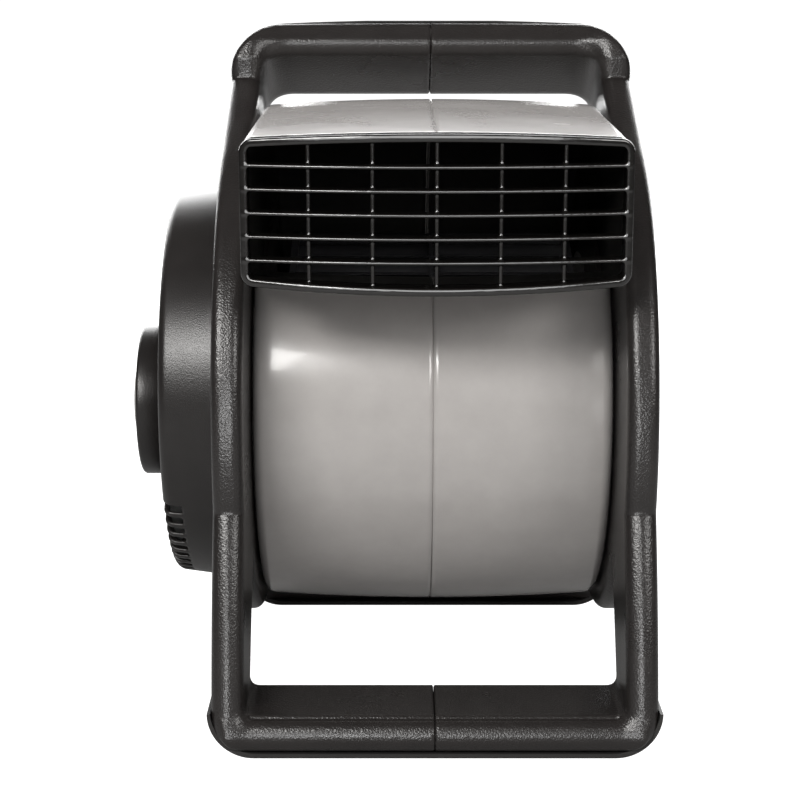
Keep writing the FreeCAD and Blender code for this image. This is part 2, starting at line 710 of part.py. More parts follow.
SPIDER_THICKNESS = 7
SPIDER_OPENING = 118
SPIDER_ARM_WIDTH = 14
COVER_SCREW_TURNS = (15, 90, 165)
COVER_SCREW_SETBACK = SPIDER_THICKNESS / 2
make_motor()
make_spider()
screws("cover_screws", cover_stations(), 12, radius=1.5)


# ---------------------------------------------------------------- motor cover and controls
RELIEF_X = -OUTER - 29
RELIEF_Z = PIVOT.z - 34
OUTLET_Z = "hub_z + 87"
BREAKER_Y = "pivot_y + 66"


def pocket(body, sketch, name, length, along_normal=True):
    """A cut from the sketch's plane, along its normal or against it, that takes material away."""
    before = body.Shape.Volume
    cut = body.newObject("PartDesign::Pocket", name)
    cut.Profile = sketch
    cut.Reversed = along_normal
    cut.Length = length
    body.Tip = cut
    doc.recompute()
    if body.Shape.Volume >= before - 1:
        raise RuntimeError("%s cuts nothing" % name)
    return cut


def turned_sketch(body, role, name, angle):
    """A sketch on an origin plane that is turned about X by an angle in degrees."""
    sketch = sketch_on(body, role, name)
    sketch.AttachmentOffset = FreeCAD.Placement(V(0, 0, 0), FreeCAD.Rotation(V(1, 0, 0), angle))
    return sketch


def patterned(body, feature, name, angle, occurrences):
    """The feature repeated about the body's X axis."""
    doc.recompute()
    around = body.newObject("PartDesign::PolarPattern", name)
    around.Originals = [feature]
    around.Axis = (origin_part(body, "X_Axis"), [""])
    around.setExpression("Angle", bound(angle))
    around.Occurrences = occurrences
    body.Tip = around
    doc.recompute()


def make_cover():
    """A domed drum over the motor, with radial slots round the lower part of its rim."""
    cover = turned("motor_cover", [
        ("-(panel_outer + 0.02)", "cover_radius"),
        ("-(cover_face - 9)", "cover_rim_radius"),
        ("-(cover_face - 5.5)", "cover_rim_radius - 1.7"),
        ("-(cover_face - 4)", "cover_rim_radius - 5.5"),
        ("-(cover_face - 1)", "cover_rim_radius - 38"),
        ("-cover_face", "hub_radius + 12"),
        ("-cover_face", "6.5"),
        ("-(cover_face - cover_wall)", "6.5"),
        ("-(cover_face - cover_wall)", "hub_radius + 12"),
        ("-(cover_face - 1 - cover_wall)", "cover_rim_radius - 38"),
        ("-(cover_face - 4 - cover_wall)", "cover_rim_radius - 7"),
        ("-(cover_face - 9)", "cover_rim_radius - cover_wall"),
        ("-(panel_outer + 0.02)", "cover_radius - cover_wall"),
    ], z="cover_z")
    first_slot = 180 - (SLOT_COUNT - 1) * size("slot_pitch") / 2
    sketch = turned_sketch(cover, "XZ_Plane", "motor_cover_slot", first_slot)
    fixed_outline(sketch, [
        ("-(cover_face + 3)", "cover_rim_radius - 22"), ("-(cover_face - 17)", "cover_rim_radius - 22"),
        ("-(cover_face - 17)", "cover_rim_radius + 6"), ("-(cover_face + 3)", "cover_rim_radius + 6"),
    ])
    slot = cover.newObject("PartDesign::Pocket", "motor_cover_first_slot")
    slot.Profile = sketch
    slot.Midplane = True
    slot.setExpression("Length", bound("slot_width"))
    patterned(cover, slot, "motor_cover_slots", "slot_pitch * %d" % (SLOT_COUNT - 1), SLOT_COUNT)
    drill = turned_sketch(cover, "XY_Plane", "motor_cover_screw_circle", -COVER_SCREW_TURNS[-1])
    fixed_circle(drill, "1.6", "-(panel_outer + %g)" % COVER_SCREW_SETBACK, "0")
    hole = pocket(cover, drill, "motor_cover_last_screw_hole", 160)
    spread = COVER_SCREW_TURNS[-1] - COVER_SCREW_TURNS[0]
    patterned(cover, hole, "motor_cover_screw_holes", spread, len(COVER_SCREW_TURNS))
    openings = sketch_on(cover, "YZ_Plane", "motor_cover_openings", "-(cover_face + 6)")
    level = size(OUTLET_Z) - size("cover_z")
    aside = size(BREAKER_Y) - size("pivot_y")
    fixed_outline(openings, [
        ("-39", level - 15), ("39", level - 15), ("39", level + 15), ("-39", level + 15),
    ])
    fixed_circle(openings, "7.05", aside, level)
    fixed_circle(openings, "18", "0", "hub_z - cover_z")
    pocket(cover, openings, "motor_cover_face_openings", 12)
    relief = sketch_on(cover, "XZ_Plane", "motor_cover_cord_circle")
    fixed_circle(relief, "6.05", RELIEF_X, RELIEF_Z - size("cover_z"))
    pocket(cover, relief, "motor_cover_cord_hole", 200, along_normal=False)


def make_controls():
    """The round hub, its dial on a shaft, and the switch behind the cover's face."""
    turned("control_hub", [
        ("-(cover_face + 0.02)", "hub_radius - 3"), ("-(cover_face + 0.02)", "hub_radius"),
        ("-(hub_face - 2)", "hub_radius"), ("-hub_face", "hub_radius - 2"),
        ("-hub_face", "dial_radius + 4"), ("-(hub_face - 3)", "dial_radius + 0.6"),
        ("-(hub_face - 7)", "dial_radius + 0.6"), ("-(hub_face - 7)", "6"),
        ("-(hub_face - 10)", "6"), ("-(hub_face - 10)", "hub_radius - 3"),
    ], z="hub_z")
    turned("speed_dial", [
        ("-(hub_face - 6.5)", "3.02"), ("-(hub_face - 6.5)", "dial_radius"),
        ("-(hub_face + 2)", "dial_radius"), ("-(hub_face + 4.5)", "dial_radius - 6"),
        ("-(dial_apex - 1.5)", "dial_radius - 18"), ("-dial_apex", "12"), ("-dial_apex", "3.02"),
    ], z="hub_z")
    turned("dial_shaft", [
        ("-(dial_apex - 0.5)", "0.4"), ("-(dial_apex - 0.5)", "3"),
        ("-(cover_face - 12)", "3"), ("-(cover_face - 12)", "0.4"),
    ], z="hub_z")
    switch = padded("rotary_switch", "YZ_Plane", "-(cover_face - cover_wall - 0.1)", "16",
                    outlines=[[("-17", "-17"), ("17", "-17"), ("17", "17"), ("-17", "17")]],
                    circles=[("3.05", "0", "0")])
    place(switch, "0", "pivot_y", "hub_z")


def make_outlets():
    """A plate above the hub with two three-pin receptacles, and a push breaker beside them."""
    plate = padded("outlet_panel", "YZ_Plane", "-(cover_face + 2)", "1.9",
                   outlines=[[("-44", "-19"), ("44", "-19"), ("44", "19"), ("-44", "19")],
                             [("-38", "-14"), ("-8", "-14"), ("-8", "14"), ("-38", "14")],
                             [("8", "-14"), ("38", "-14"), ("38", "14"), ("8", "14")]])
    place(plate, "0", "pivot_y", OUTLET_Z)
    near = -size("cover_face") - 1.5
    faces = []
    for side in (-1, 1):
        centre = V(near, PIVOT.y + side * 23, size(OUTLET_Z))
        block = Part.makeBox(22, 29.8, 27.8, centre - V(0, 14.9, 13.9))
        for slot_side, slot_height in ((-1, 8), (1, 6.4)):
            corner = centre + V(-1, slot_side * 6.35 - 0.9, 2 - slot_height / 2)
            block = block.cut(Part.makeBox(14, 1.8, slot_height, corner))
        faces.append(block.cut(axial_cylinder(2.4, near - 1, near + 13, centre.y, centre.z - 8)))
    shaped("receptacles", Part.makeCompound(faces))
    turned("breaker_body", [
        ("-(cover_face + 4)", "5.05"), ("-(cover_face + 4)", "8.5"), ("-(cover_face + 0.02)", "8.5"),
        ("-(cover_face + 0.02)", "7"), ("-(cover_face - 20)", "7"), ("-(cover_face - 20)", "5.05"),
    ], y=BREAKER_Y, z=OUTLET_Z)
    turned("breaker_button", [
        ("-(cover_face + 7)", "0.4"), ("-(cover_face + 7)", "4.2"), ("-(cover_face + 6)", "5"),
        ("-(cover_face - 8)", "5"), ("-(cover_face - 8)", "0.4"),
    ], y=BREAKER_Y, z=OUTLET_Z)


def make_capacitor():
    """The run capacitor lies along X low in the cover, held by a strap."""
    place_y = "pivot_y + 78"
    place_z = "pivot_z - 74"
    turned("capacitor", [
        ("-184", "0.5"), ("-184", "14"), ("-182", "16"), ("-154.4", "16"), ("-152.4", "14"), ("-152.4", "0.5"),
    ], y=place_y, z=place_z)
    tube("capacitor_strap", "-176", "-166", "17.2", "16.02", y=place_y, z=place_z)


SLOT_COUNT = 29
make_cover()
make_controls()
make_outlets()
make_capacitor()


# ---------------------------------------------------------------- intake guard on the right
def make_guard():
    """A domed guard: rim plate, concentric wires and curved ribs, with a blank centre cap."""
    near = OUTER + CONTACT_GAP
    rim = axial_cylinder(size("guard_radius"), near, near + 4, PIVOT.y, PIVOT.z)
    rim = rim.cut(axial_cylinder(GUARD_OPENING, near - 1, near + 5, PIVOT.y, PIVOT.z))
    wire = size("guard_wire")
    base = near + 2
    pieces = []
    for number in range(1, 7):
        radius = GUARD_CAP_RADIUS + (GUARD_OPENING - GUARD_CAP_RADIUS) * number / 7
        pieces.append(Part.makeTorus(radius, wire, dome_point(base, radius), V(1, 0, 0)))
    for number in range(GUARD_RIBS):
        start = dome_point(base, GUARD_CAP_RADIUS - 3, rim_point=True)
        middle = dome_point(base, (GUARD_OPENING + GUARD_CAP_RADIUS) / 2, rim_point=True)
        end = dome_point(base, GUARD_OPENING + 0.8, rim_point=True)
        edge = arc(start, middle, end)
        rib = swept_tube([edge], start, edge.tangentAt(edge.FirstParameter), wire)
        rib.rotate(PIVOT, V(1, 0, 0), 360 / GUARD_RIBS * number)
        pieces.append(rib)
    disc_x = dome_point(base, 0).x + wire + 0.2
    disc = axial_cylinder(GUARD_CAP_RADIUS, disc_x - 6, disc_x, PIVOT.y, PIVOT.z)
    guard = rim.multiFuse(pieces + [disc])
    stations = [(seat + V(4 + 2 * CONTACT_GAP, 0, 0), axis)
                for seat, axis in panel_stations(GUARD_TURNS, GUARD_SCREW_RADIUS, 1)]
    shaped("intake_guard", drilled(guard, stations, 8, SCREW_HOLE))
    screws("guard_screws", stations, 9)
    tube("guard_cap", "%g" % (disc_x + CONTACT_GAP), "%g" % (disc_x + 2),
         "%g" % (GUARD_CAP_RADIUS - 2), "0.6")


def dome_point(base, radius, rim_point=False):
    """The dome's place along X at a radius; with rim_point, the point straight above the axis."""
    height = base + size("guard_dome") * (1 - (radius / GUARD_OPENING) ** 2)
    return V(height, PIVOT.y, PIVOT.z + (radius if rim_point else 0))


GUARD_OPENING = 118
GUARD_CAP_RADIUS = 24
GUARD_RIBS = 12
make_guard()


# ---------------------------------------------------------------- cord
HOOK_POST_RADIUS = 7.5
CORD_BEND = HOOK_POST_RADIUS + size("cord_radius") + 0.4
CORD_PITCH = 7.4
CORD_LAPS = 3
INLET_BEND = 8


def hook_centres():
    angle = size("hook_angle")
    return [around_pivot(size("hook_radius"), 90 - angle), around_pivot(size("hook_radius"), 90 + angle)]


def make_hooks():
    """Two pegs with end discs on the outer face of the left half frame."""
    hooks = []
    for centre in hook_centres():
        post = axial_cylinder(HOOK_POST_RADIUS, -OUTER - 43, -OUTER - CONTACT_GAP, centre.y, centre.z)
        disc = axial_cylinder(HOOK_POST_RADIUS + 6, -OUTER - 46, -OUTER - 43, centre.y, centre.z)
        hooks.append(post.fuse(disc).removeSplitter())
    shaped("cord_hooks", Part.makeCompound(hooks))


def cord_path():
    """The cord leaves the cover, laps the two hooks and hangs down at the back to its plug."""
    upper, lower = hook_centres()
    front_y = upper.y - CORD_BEND
    back_y = upper.y + CORD_BEND
    inlet = V(RELIEF_X, upper.y - 60, RELIEF_Z)
    bend_start = V(RELIEF_X, front_y - INLET_BEND, RELIEF_Z)
    bend_end = V(RELIEF_X, front_y, RELIEF_Z + INLET_BEND)
    slant = INLET_BEND * math.sqrt(0.5)
    bend_middle = V(RELIEF_X, front_y - INLET_BEND + slant, RELIEF_Z + INLET_BEND - slant)
    edges = [line(inlet, bend_start), arc(bend_start, bend_middle, bend_end)]
    here = bend_end
    for lap in range(CORD_LAPS):
        top = V(here.x + CORD_PITCH / 2, front_y, upper.z)
        over = V(top.x, back_y, upper.z)
        edges.append(line(here, top))
        edges.append(arc(top, V(top.x, upper.y, upper.z + CORD_BEND), over))
        last = lap == CORD_LAPS - 1
        foot = V(top.x + CORD_PITCH / 2, back_y, PLUG_TOP if last else lower.z)
        edges.append(line(over, foot))
        if not last:
            here = V(foot.x, front_y, lower.z)
            edges.append(arc(foot, V(foot.x, lower.y, lower.z - CORD_BEND), here))
    return edges, foot


def make_cord():
    edges, end = cord_path()
    radius = size("cord_radius")
    inlet = edges[0].Vertexes[0].Point
    shaped("power_cord", swept_tube(edges, inlet, V(0, 1, 0), radius))
    plug = Part.makeCone(12, 6, 30, end + V(0, 0, -30 - CONTACT_GAP), V(0, 0, 1))
    for side, height in ((-1, 16), (1, 16)):
        plug = plug.fuse(Part.makeBox(1.5, 6.4, height + 1, end + V(side * 6.35 - 0.75, -5, -30 - height)))
    plug = plug.fuse(Part.makeCylinder(2.4, 19, end + V(0, 6, -48), V(0, 0, 1)))
    shaped("power_plug", plug.removeSplitter())
    wall_y = PIVOT.y + math.sqrt(size("cover_rim_radius + 2") ** 2 - (RELIEF_Z - size("cover_z")) ** 2)
    collar = Part.makeCylinder(8, 5.6, V(RELIEF_X, wall_y + 4.6, RELIEF_Z), V(0, 1, 0))
    sleeve = Part.makeCylinder(6, 20.2, V(RELIEF_X, wall_y - 10, RELIEF_Z), V(0, 1, 0))
    hole = Part.makeCylinder(radius + 0.03, 60, V(RELIEF_X, wall_y - 30, RELIEF_Z), V(0, 1, 0))
    shaped("strain_relief", collar.fuse(sleeve).cut(hole).removeSplitter())


PLUG_TOP = 62
make_hooks()
make_cord()


# ---------------------------------------------------------------- checks and files
def sub_parts():
    """The document's finished pieces: bodies, and features that belong to no body."""
    return [item for item in doc.Objects
            if item.TypeId in ("PartDesign::Body", "Part::Feature")]


doc.recompute()
for item in doc.Objects:
    if "Invalid" in item.State or "Error" in item.State:
        raise RuntimeError("%s did not compute: %s" % (item.Label, item.State))
for item in sub_parts():
    if item.Shape.isNull() or not item.Shape.isValid():
        raise RuntimeError("%s has no valid shape" % item.Label)
    item.Shape.exportStep("parts/%s.step" % item.Label)
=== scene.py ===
import json
import math

import bmesh
import bpy
import numpy as np
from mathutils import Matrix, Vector


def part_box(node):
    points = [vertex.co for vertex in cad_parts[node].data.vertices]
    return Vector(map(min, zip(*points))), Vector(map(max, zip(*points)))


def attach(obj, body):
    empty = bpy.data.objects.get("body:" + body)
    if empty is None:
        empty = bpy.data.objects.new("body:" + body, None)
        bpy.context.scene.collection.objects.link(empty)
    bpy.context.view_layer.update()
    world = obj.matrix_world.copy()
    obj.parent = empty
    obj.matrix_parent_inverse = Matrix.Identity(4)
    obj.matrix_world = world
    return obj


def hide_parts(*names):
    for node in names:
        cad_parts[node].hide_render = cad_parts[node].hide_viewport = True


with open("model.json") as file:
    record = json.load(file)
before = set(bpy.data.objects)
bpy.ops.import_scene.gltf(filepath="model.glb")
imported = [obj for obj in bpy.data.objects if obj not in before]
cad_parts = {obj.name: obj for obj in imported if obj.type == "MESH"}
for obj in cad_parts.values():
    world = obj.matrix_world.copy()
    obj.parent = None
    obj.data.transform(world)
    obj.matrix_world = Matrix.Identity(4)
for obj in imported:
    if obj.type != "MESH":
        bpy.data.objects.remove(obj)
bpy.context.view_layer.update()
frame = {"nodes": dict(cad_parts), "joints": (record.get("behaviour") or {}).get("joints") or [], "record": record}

# Shapes are worked out in millimetres in the frame's axes, and become metres when a mesh is made.
MM = 0.001


# ---------------------------------------------------------------- places and sizes from the frame
def box_mm(node):
    """Lowest and highest corners of a CAD node in millimetres."""
    low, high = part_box(node)
    return [value / MM for value in low], [value / MM for value in high]


JOINTS = {joint["name"]: joint for joint in frame["joints"]}
PIVOT_Y, PIVOT_Z = [value / MM for value in JOINTS["head_tilt"]["pos_m"][1:]]
DIAL_Z = JOINTS["dial_turn"]["pos_m"][2] / MM

frame_low, frame_high = box_mm("frame_right")
OUTER = frame_high[0]
INNER = box_mm("friction_ring_right")[1][0]
PANEL_MIDDLE = (OUTER + INNER) / 2
PANEL_HALF = (OUTER - INNER) / 2
FOOT = frame_low[2]
TOP = frame_high[2]
RING = frame_high[1] - PIVOT_Y
BAR = -frame_low[1]
BORE = (box_mm("pivot_ring_right")[1][1] - box_mm("pivot_ring_right")[0][1]) / 2


# ---------------------------------------------------------------- distance fields and their meshes
def smooth_min(a, b, reach):
    """The union of two fields, blended over a reach."""
    share = np.clip(0.5 + 0.5 * (b - a) / reach, 0, 1)
    return b + (a - b) * share - reach * share * (1 - share)


def smooth_max(a, b, reach):
    """The overlap of two fields, blended over a reach."""
    return -smooth_min(-a, -b, reach)


def outline_field(points, across, up):
    """Distance to a closed outline, below zero inside it."""
    nearest = None
    inside = False
    for (a0, u0), (a1, u1) in zip(points, points[1:] + points[:1]):
        run, rise = a1 - a0, u1 - u0
        from_a, from_u = across - a0, up - u0
        share = np.clip((from_a * run + from_u * rise) / (run * run + rise * rise), 0, 1)
        squared = (from_a - run * share) ** 2 + (from_u - rise * share) ** 2
        nearest = squared if nearest is None else np.minimum(nearest, squared)
        if rise:
            spans = (u0 <= up) != (u1 <= up)
            inside = inside ^ (spans & (from_a < run * from_u / rise))
    return np.sqrt(nearest) * np.where(inside, -1.0, 1.0)


def box_field(offsets, rounding=0.0):
    """A box whose offsets are |distance from the middle| - half size along each axis."""
    outside = sum(np.maximum(offset + rounding, 0) ** 2 for offset in offsets)
    deepest = offsets[0] + rounding
    for offset in offsets[1:]:
        deepest = np.maximum(deepest, offset + rounding)
    return np.sqrt(outside) + np.minimum(deepest, 0) - rounding


def capsule_field(start, end, across, up):
    """Distance to the stretch between two points of a plane."""
    run, rise = end[0] - start[0], end[1] - start[1]
    share = ((across - start[0]) * run + (up - start[1]) * rise) / (run * run + rise * rise)
    share = np.clip(share, 0, 1)
    return np.sqrt((across - start[0] - run * share) ** 2 + (up - start[1] - rise * share) ** 2)


def corner_values(values):
    """The eight corners of every cell of a grid."""
    ends = (slice(None, -1), slice(1, None))
    return [values[ends[i], ends[j], ends[k]] for i in (0, 1) for j in (0, 1) for k in (0, 1)]


def net_faces(inside, cell_number):
    """One quad round each grid edge that crosses the surface, turned to face outward."""
    faces = []
    for axis in range(3):
        order = [axis, (axis + 1) % 3, (axis + 2) % 3]
        signs = np.transpose(inside, order)
        numbers = np.transpose(cell_number, order)
        crossed = signs[:-1, 1:-1, 1:-1] != signs[1:, 1:-1, 1:-1]
        a, b, c = np.nonzero(crossed)
        quad = np.stack([numbers[a, b, c], numbers[a, b + 1, c],
                         numbers[a, b + 1, c + 1], numbers[a, b, c + 1]], axis=1)
        backward = ~signs[:-1, 1:-1, 1:-1][a, b, c]
        quad[backward] = quad[backward][:, ::-1]
        faces.append(quad)
    return np.concatenate(faces)


def relaxed(points, faces):
    """Each point moved to the middle of its neighbours."""
    count = len(points)
    starts = faces.reshape(-1)
    ends = np.roll(faces, -1, axis=1).reshape(-1)
    both = np.concatenate([starts, ends])
    other = np.concatenate([ends, starts])
    weight = np.maximum(np.bincount(both, minlength=count), 1)
    sums = [np.bincount(both, weights=points[other, axis], minlength=count) for axis in range(3)]
    return np.stack(sums, axis=1) / weight[:, None]


def drawn_to_surface(field, points, step):
    """Points moved along the field's slope onto the surface, by at most one step."""
    reach = step * 0.2
    here = field(points[:, 0], points[:, 1], points[:, 2])
    slope = np.zeros_like(points)
    for axis in range(3):
        shift = np.zeros(3)
        shift[axis] = reach
        ahead, behind = points + shift, points - shift
        slope[:, axis] = (field(*ahead.T) - field(*behind.T)) / (2 * reach)
    size = np.maximum((slope ** 2).sum(axis=1), 0.1)
    move = -slope * (here / size)[:, None]
    length = np.maximum(np.linalg.norm(move, axis=1), 1e-9)
    return points + move * np.minimum(1, step / length)[:, None]


def field_mesh(name, field, low, high, step):
    """An object made of the surface where the field is zero."""
    axes = [np.arange(start - step, end + 2 * step, step) for start, end in zip(low, high)]
    counts = tuple(len(axis) for axis in axes)
    grid = field(axes[0][:, None, None], axes[1][None, :, None], axes[2][None, None, :])
    values = np.broadcast_to(grid, counts).astype(np.float32)
    inside = values < 0
    filled = sum(corner.astype(np.uint8) for corner in corner_values(inside))
    cells = np.argwhere((filled > 0) & (filled < 8))
    cell_number = np.full(filled.shape, -1, np.int32)
    cell_number[tuple(cells.T)] = np.arange(len(cells))
    faces = net_faces(inside, cell_number)
    points = cell_points(values, cells, axes, step)
    for _ in range(2):
        points = drawn_to_surface(field, relaxed(points, faces) * 0.5 + points * 0.5, step)
    points = drawn_to_surface(field, points, step)
    return new_object(name, (points * MM).tolist(), faces.tolist())


def cell_points(values, cells, axes, step):
    """The middle of the surface's crossings of each cell's edges."""
    corners = [(i, j, k) for i in (0, 1) for j in (0, 1) for k in (0, 1)]
    at = {corner: values[tuple((cells + corner).T)].astype(float) for corner in corners}
    total = np.zeros((len(cells), 3))
    count = np.zeros(len(cells))
    for corner in corners:
        for axis in range(3):
            if corner[axis]:
                continue
            other = tuple(1 if index == axis else corner[index] for index in range(3))
            crossed = (at[corner] < 0) != (at[other] < 0)
            gap = np.where(crossed, at[corner] - at[other], 1)
            place = np.array(corner, float)[None, :].repeat(len(cells), 0)
            place[:, axis] += at[corner] / gap
            total += place * crossed[:, None]
            count += crossed
    origin = np.array([axis[0] for axis in axes])
    return origin + (cells + total / count[:, None]) * step


# ---------------------------------------------------------------- objects
def new_object(name, points, faces):
    """A smooth object made of points in metres and faces."""
    mesh = bpy.data.meshes.new(name)
    mesh.from_pydata(points, [], faces)
    mesh.polygons.foreach_set("use_smooth", [True] * len(mesh.polygons))
    mesh.update()
    item = bpy.data.objects.new(name, mesh)
    bpy.context.scene.collection.objects.link(item)
    return item


def mirror_copy(item, name):
    """The same mesh on the other side of the middle plane."""
    twin = bpy.data.objects.new(name, item.data.copy())
    bpy.context.scene.collection.objects.link(twin)
    for vertex in twin.data.vertices:
        vertex.co.x = -vertex.co.x
    twin.data.flip_normals()
    return twin


def finished(item, material, body, slot, *nodes):
    """Gives a piece its material and body, and hides the CAD nodes that it stands for. The slot is not used."""
    item.data.materials.clear()
    item.data.materials.append(material)
    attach(item, body)
    if nodes:
        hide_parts(*nodes)
    return item


def rounded_profile(corners, steps=6):
    """Corners given as (along, radius, rounding) made into points with an arc at each rounded corner."""
    points = []
    count = len(corners)
    for index, (along, out, rounding) in enumerate(corners):
        here = Vector((along, out))
        if rounding <= 0 or index in (0, count - 1):
            points.append(here)
            continue
        before = (Vector(corners[index - 1][:2]) - here).normalized()
        after = (Vector(corners[index + 1][:2]) - here).normalized()
        half = before.angle(after) / 2
        reach = rounding / math.tan(half)
        centre = here + (before + after).normalized() * (rounding / math.sin(half))
        start, end = here + before * reach - centre, here + after * reach - centre
        for step in range(steps + 1):
            points.append(centre + start.slerp(end, step / steps).normalized() * rounding)
    return points


def lathe(name, profile, y, z, segments=128):
    """An object turned about an axis along X through (y, z)."""
    points, faces = [], []
    for along, out in profile:
        for turn in range(segments):
            angle = 2 * math.pi * turn / segments
            points.append((along * MM, (y + out * math.sin(angle)) * MM, (z + out * math.cos(angle)) * MM))
    for ring in range(len(profile) - 1):
        for turn in range(segments):
            following = (turn + 1) % segments
            faces.append((ring * segments + turn, ring * segments + following,
                          (ring + 1) * segments + following, (ring + 1) * segments + turn))
    item = new_object(name, points, faces)
    work = bmesh.new()
    work.from_mesh(item.data)
    bmesh.ops.remove_doubles(work, verts=work.verts, dist=1e-6)
    bmesh.ops.recalc_face_normals(work, faces=work.faces)
    work.to_mesh(item.data)
    work.free()
    return item


# ---------------------------------------------------------------- stand
# The handle's section is a round-ended slab, sloping down from (HANDLE_Y, HANDLE_Z) to HANDLE_REAR.
HANDLE_RADIUS = 13
HANDLE_Z = TOP - HANDLE_RADIUS
HANDLE_Y = PIVOT_Y + 14.5
HANDLE_TILT = math.radians(35)
HANDLE_REACH = 48.5
HANDLE_REAR = (HANDLE_Y + HANDLE_REACH * math.cos(HANDLE_TILT),
               HANDLE_Z - HANDLE_REACH * math.sin(HANDLE_TILT))
HANDLE_CORNER = 9.2
SHOULDER_CUT = 2.7
REAR_BAR_FRONT = box_mm("rear_foot_strip")[0][1] - 0.5
REAR_BAR_DEPTH = 51
ARCH = 163
CORNER = 30
TOP_CORNER = 37
CROWN = 2.5
# Angles round the pivot, in degrees from straight up towards the back.
LEG_TOP_TURN = -99.5
NECK_TURN = -26.5
ARCH_FRONT_TURN = 237
# (y, z) of the bow in the leg's front, and of the neck between the ring and the handle.
LEG_BOW = (-11.5, 98)
NECK = [(209.5, 419), (209, 433)]
# The panel's edges are rounded, and a shallow ring is sunk into its outer face.
PANEL_ROUNDING = 7.5
STEP_BACK = 1.1
SUNK_RING = (150, 200)
SUNK_EDGE = 16
SUNK_DEPTH = 2.2
SHOULDER = 153
LEG_BACK = 26
BAR_TOP = box_mm("joiner_front")[1][2] + 3.15
BEAD_CREASE = 1.5
# How far the parts of the frame blend into each other.
FRONT_BAR_FILLET = 7
REAR_BAR_FILLET = 11
HANDLE_FILLET = 22
OUTER_ROUNDING = 4.5
BORE_CLEARANCE = 0.4
SEAM_GAP = 0.12
STAND_STEP = 1.6


def around_pivot(radius, angle):
    """(y, z) at an angle in degrees from straight up towards the back."""
    turn = math.radians(angle)
    return (PIVOT_Y + radius * math.sin(turn), PIVOT_Z + radius * math.cos(turn))


def three_point_arc(start, middle, end, count):
    """Points along the arc through three points, without the last one."""
    a, b, c = (complex(*point) for point in (start, middle, end))
    w = (c - a) / (b - a)
    centre = (b - a) * (w - abs(w) ** 2) / (2j * w.imag) + a
    first = math.atan2((a - centre).imag, (a - centre).real)
    sweep = math.atan2(((c - centre) / (a - centre)).imag, ((c - centre) / (a - centre)).real)
    halfway = math.atan2(((b - centre) / (a - centre)).imag, ((b - centre) / (a - centre)).real)
    if not 0 < halfway / sweep < 1:
        sweep -= math.copysign(2 * math.pi, sweep)
    radius = abs(a - centre)
    angles = [first + sweep * step / count for step in range(count)]
    return [(centre.real + radius * math.cos(angle), centre.imag + radius * math.sin(angle))
            for angle in angles]


def ring_arc(radius, first, last, count):
    """Points along an arc round the pivot."""
    return [around_pivot(radius, first + (last - first) * step / count) for step in range(count + 1)]


def on_bar(centre, turn):
    """The point of the handle's round edge at an angle from straight up towards the back."""
    return (centre[0] + HANDLE_RADIUS * math.sin(turn), centre[1] + HANDLE_RADIUS * math.cos(turn))


def side_outline():
    """Front leg, ring, handle end and rear foot seen from the side, as in the CAD half frames."""
    spread = (HANDLE_REAR[0] - PIVOT_Y, HANDLE_REAR[1] - PIVOT_Z)
    lean = math.atan2(*spread) + math.acos((RING - HANDLE_RADIUS) / math.hypot(*spread))
    foot_back = 180 - math.degrees(math.acos((PIVOT_Z - FOOT) / RING))
    arch_back = 180 - math.degrees(math.asin((REAR_BAR_FRONT - PIVOT_Y) / ARCH))
    handle_top = on_bar((HANDLE_Y, HANDLE_Z), HANDLE_TILT)
    rear_top = on_bar(HANDLE_REAR, HANDLE_TILT)
    corner = on_bar(HANDLE_REAR, (HANDLE_TILT + lean) / 2)
    handle_back = on_bar(HANDLE_REAR, lean)
    bulge = (-BAR, FOOT + 12)
    leg_top = around_pivot(RING, LEG_TOP_TURN)
    points = [(7.5 - BAR, FOOT), (2.5 - BAR, FOOT + 4)]
    points += three_point_arc(bulge, LEG_BOW, leg_top, 14)
    points += ring_arc(RING, LEG_TOP_TURN, NECK_TURN, 30)
    points += NECK + [(HANDLE_Y - HANDLE_CORNER, HANDLE_Z + HANDLE_CORNER), (HANDLE_Y, TOP)]
    points += [handle_top, rear_top, corner, handle_back]
    points += ring_arc(RING, math.degrees(lean), foot_back, 60)
    points += [(REAR_BAR_FRONT, FOOT)]
    points += ring_arc(ARCH, arch_back, ARCH_FRONT_TURN, 30)
    points += [(BAR, FOOT + 10), (BAR - 6, FOOT)]
    return points


SIDE_OUTLINE = side_outline()


def front_field(x, z):
    """The stand's rounded outline from the front, with a slightly crowned handle."""
    top = TOP - CROWN * (x / OUTER) ** 2
    middle = (top + FOOT) / 2
    offsets = [np.abs(x) - OUTER, np.abs(z - middle) - (top - FOOT) / 2]
    return np.where(z > middle, box_field(offsets, TOP_CORNER), box_field(offsets, CORNER))


def panel_field(x, side, y, z):
    """The ring panel with its sunk ring, and the round bead down the front of the leg."""
    from_pivot = np.sqrt((y - PIVOT_Y) ** 2 + (z - PIVOT_Z) ** 2)
    panel = box_field([side + STEP_BACK, np.abs(x - PANEL_MIDDLE) - PANEL_HALF], PANEL_ROUNDING)
    sunk = smooth_max(side + SUNK_EDGE, SUNK_RING[0] - from_pivot, 3)
    sunk = smooth_max(sunk, from_pivot - SUNK_RING[1], 3)
    sunk = smooth_max(sunk, OUTER - SUNK_DEPTH - x, 1.5)
    panel = smooth_max(panel, -sunk, 2.5)
    leg = np.sqrt((side + PANEL_HALF) ** 2 + (x - PANEL_MIDDLE) ** 2) - PANEL_HALF
    leg = smooth_max(smooth_max(leg, z - SHOULDER, 3), y - LEG_BACK, 3)
    return smooth_min(panel, leg, 0.8)


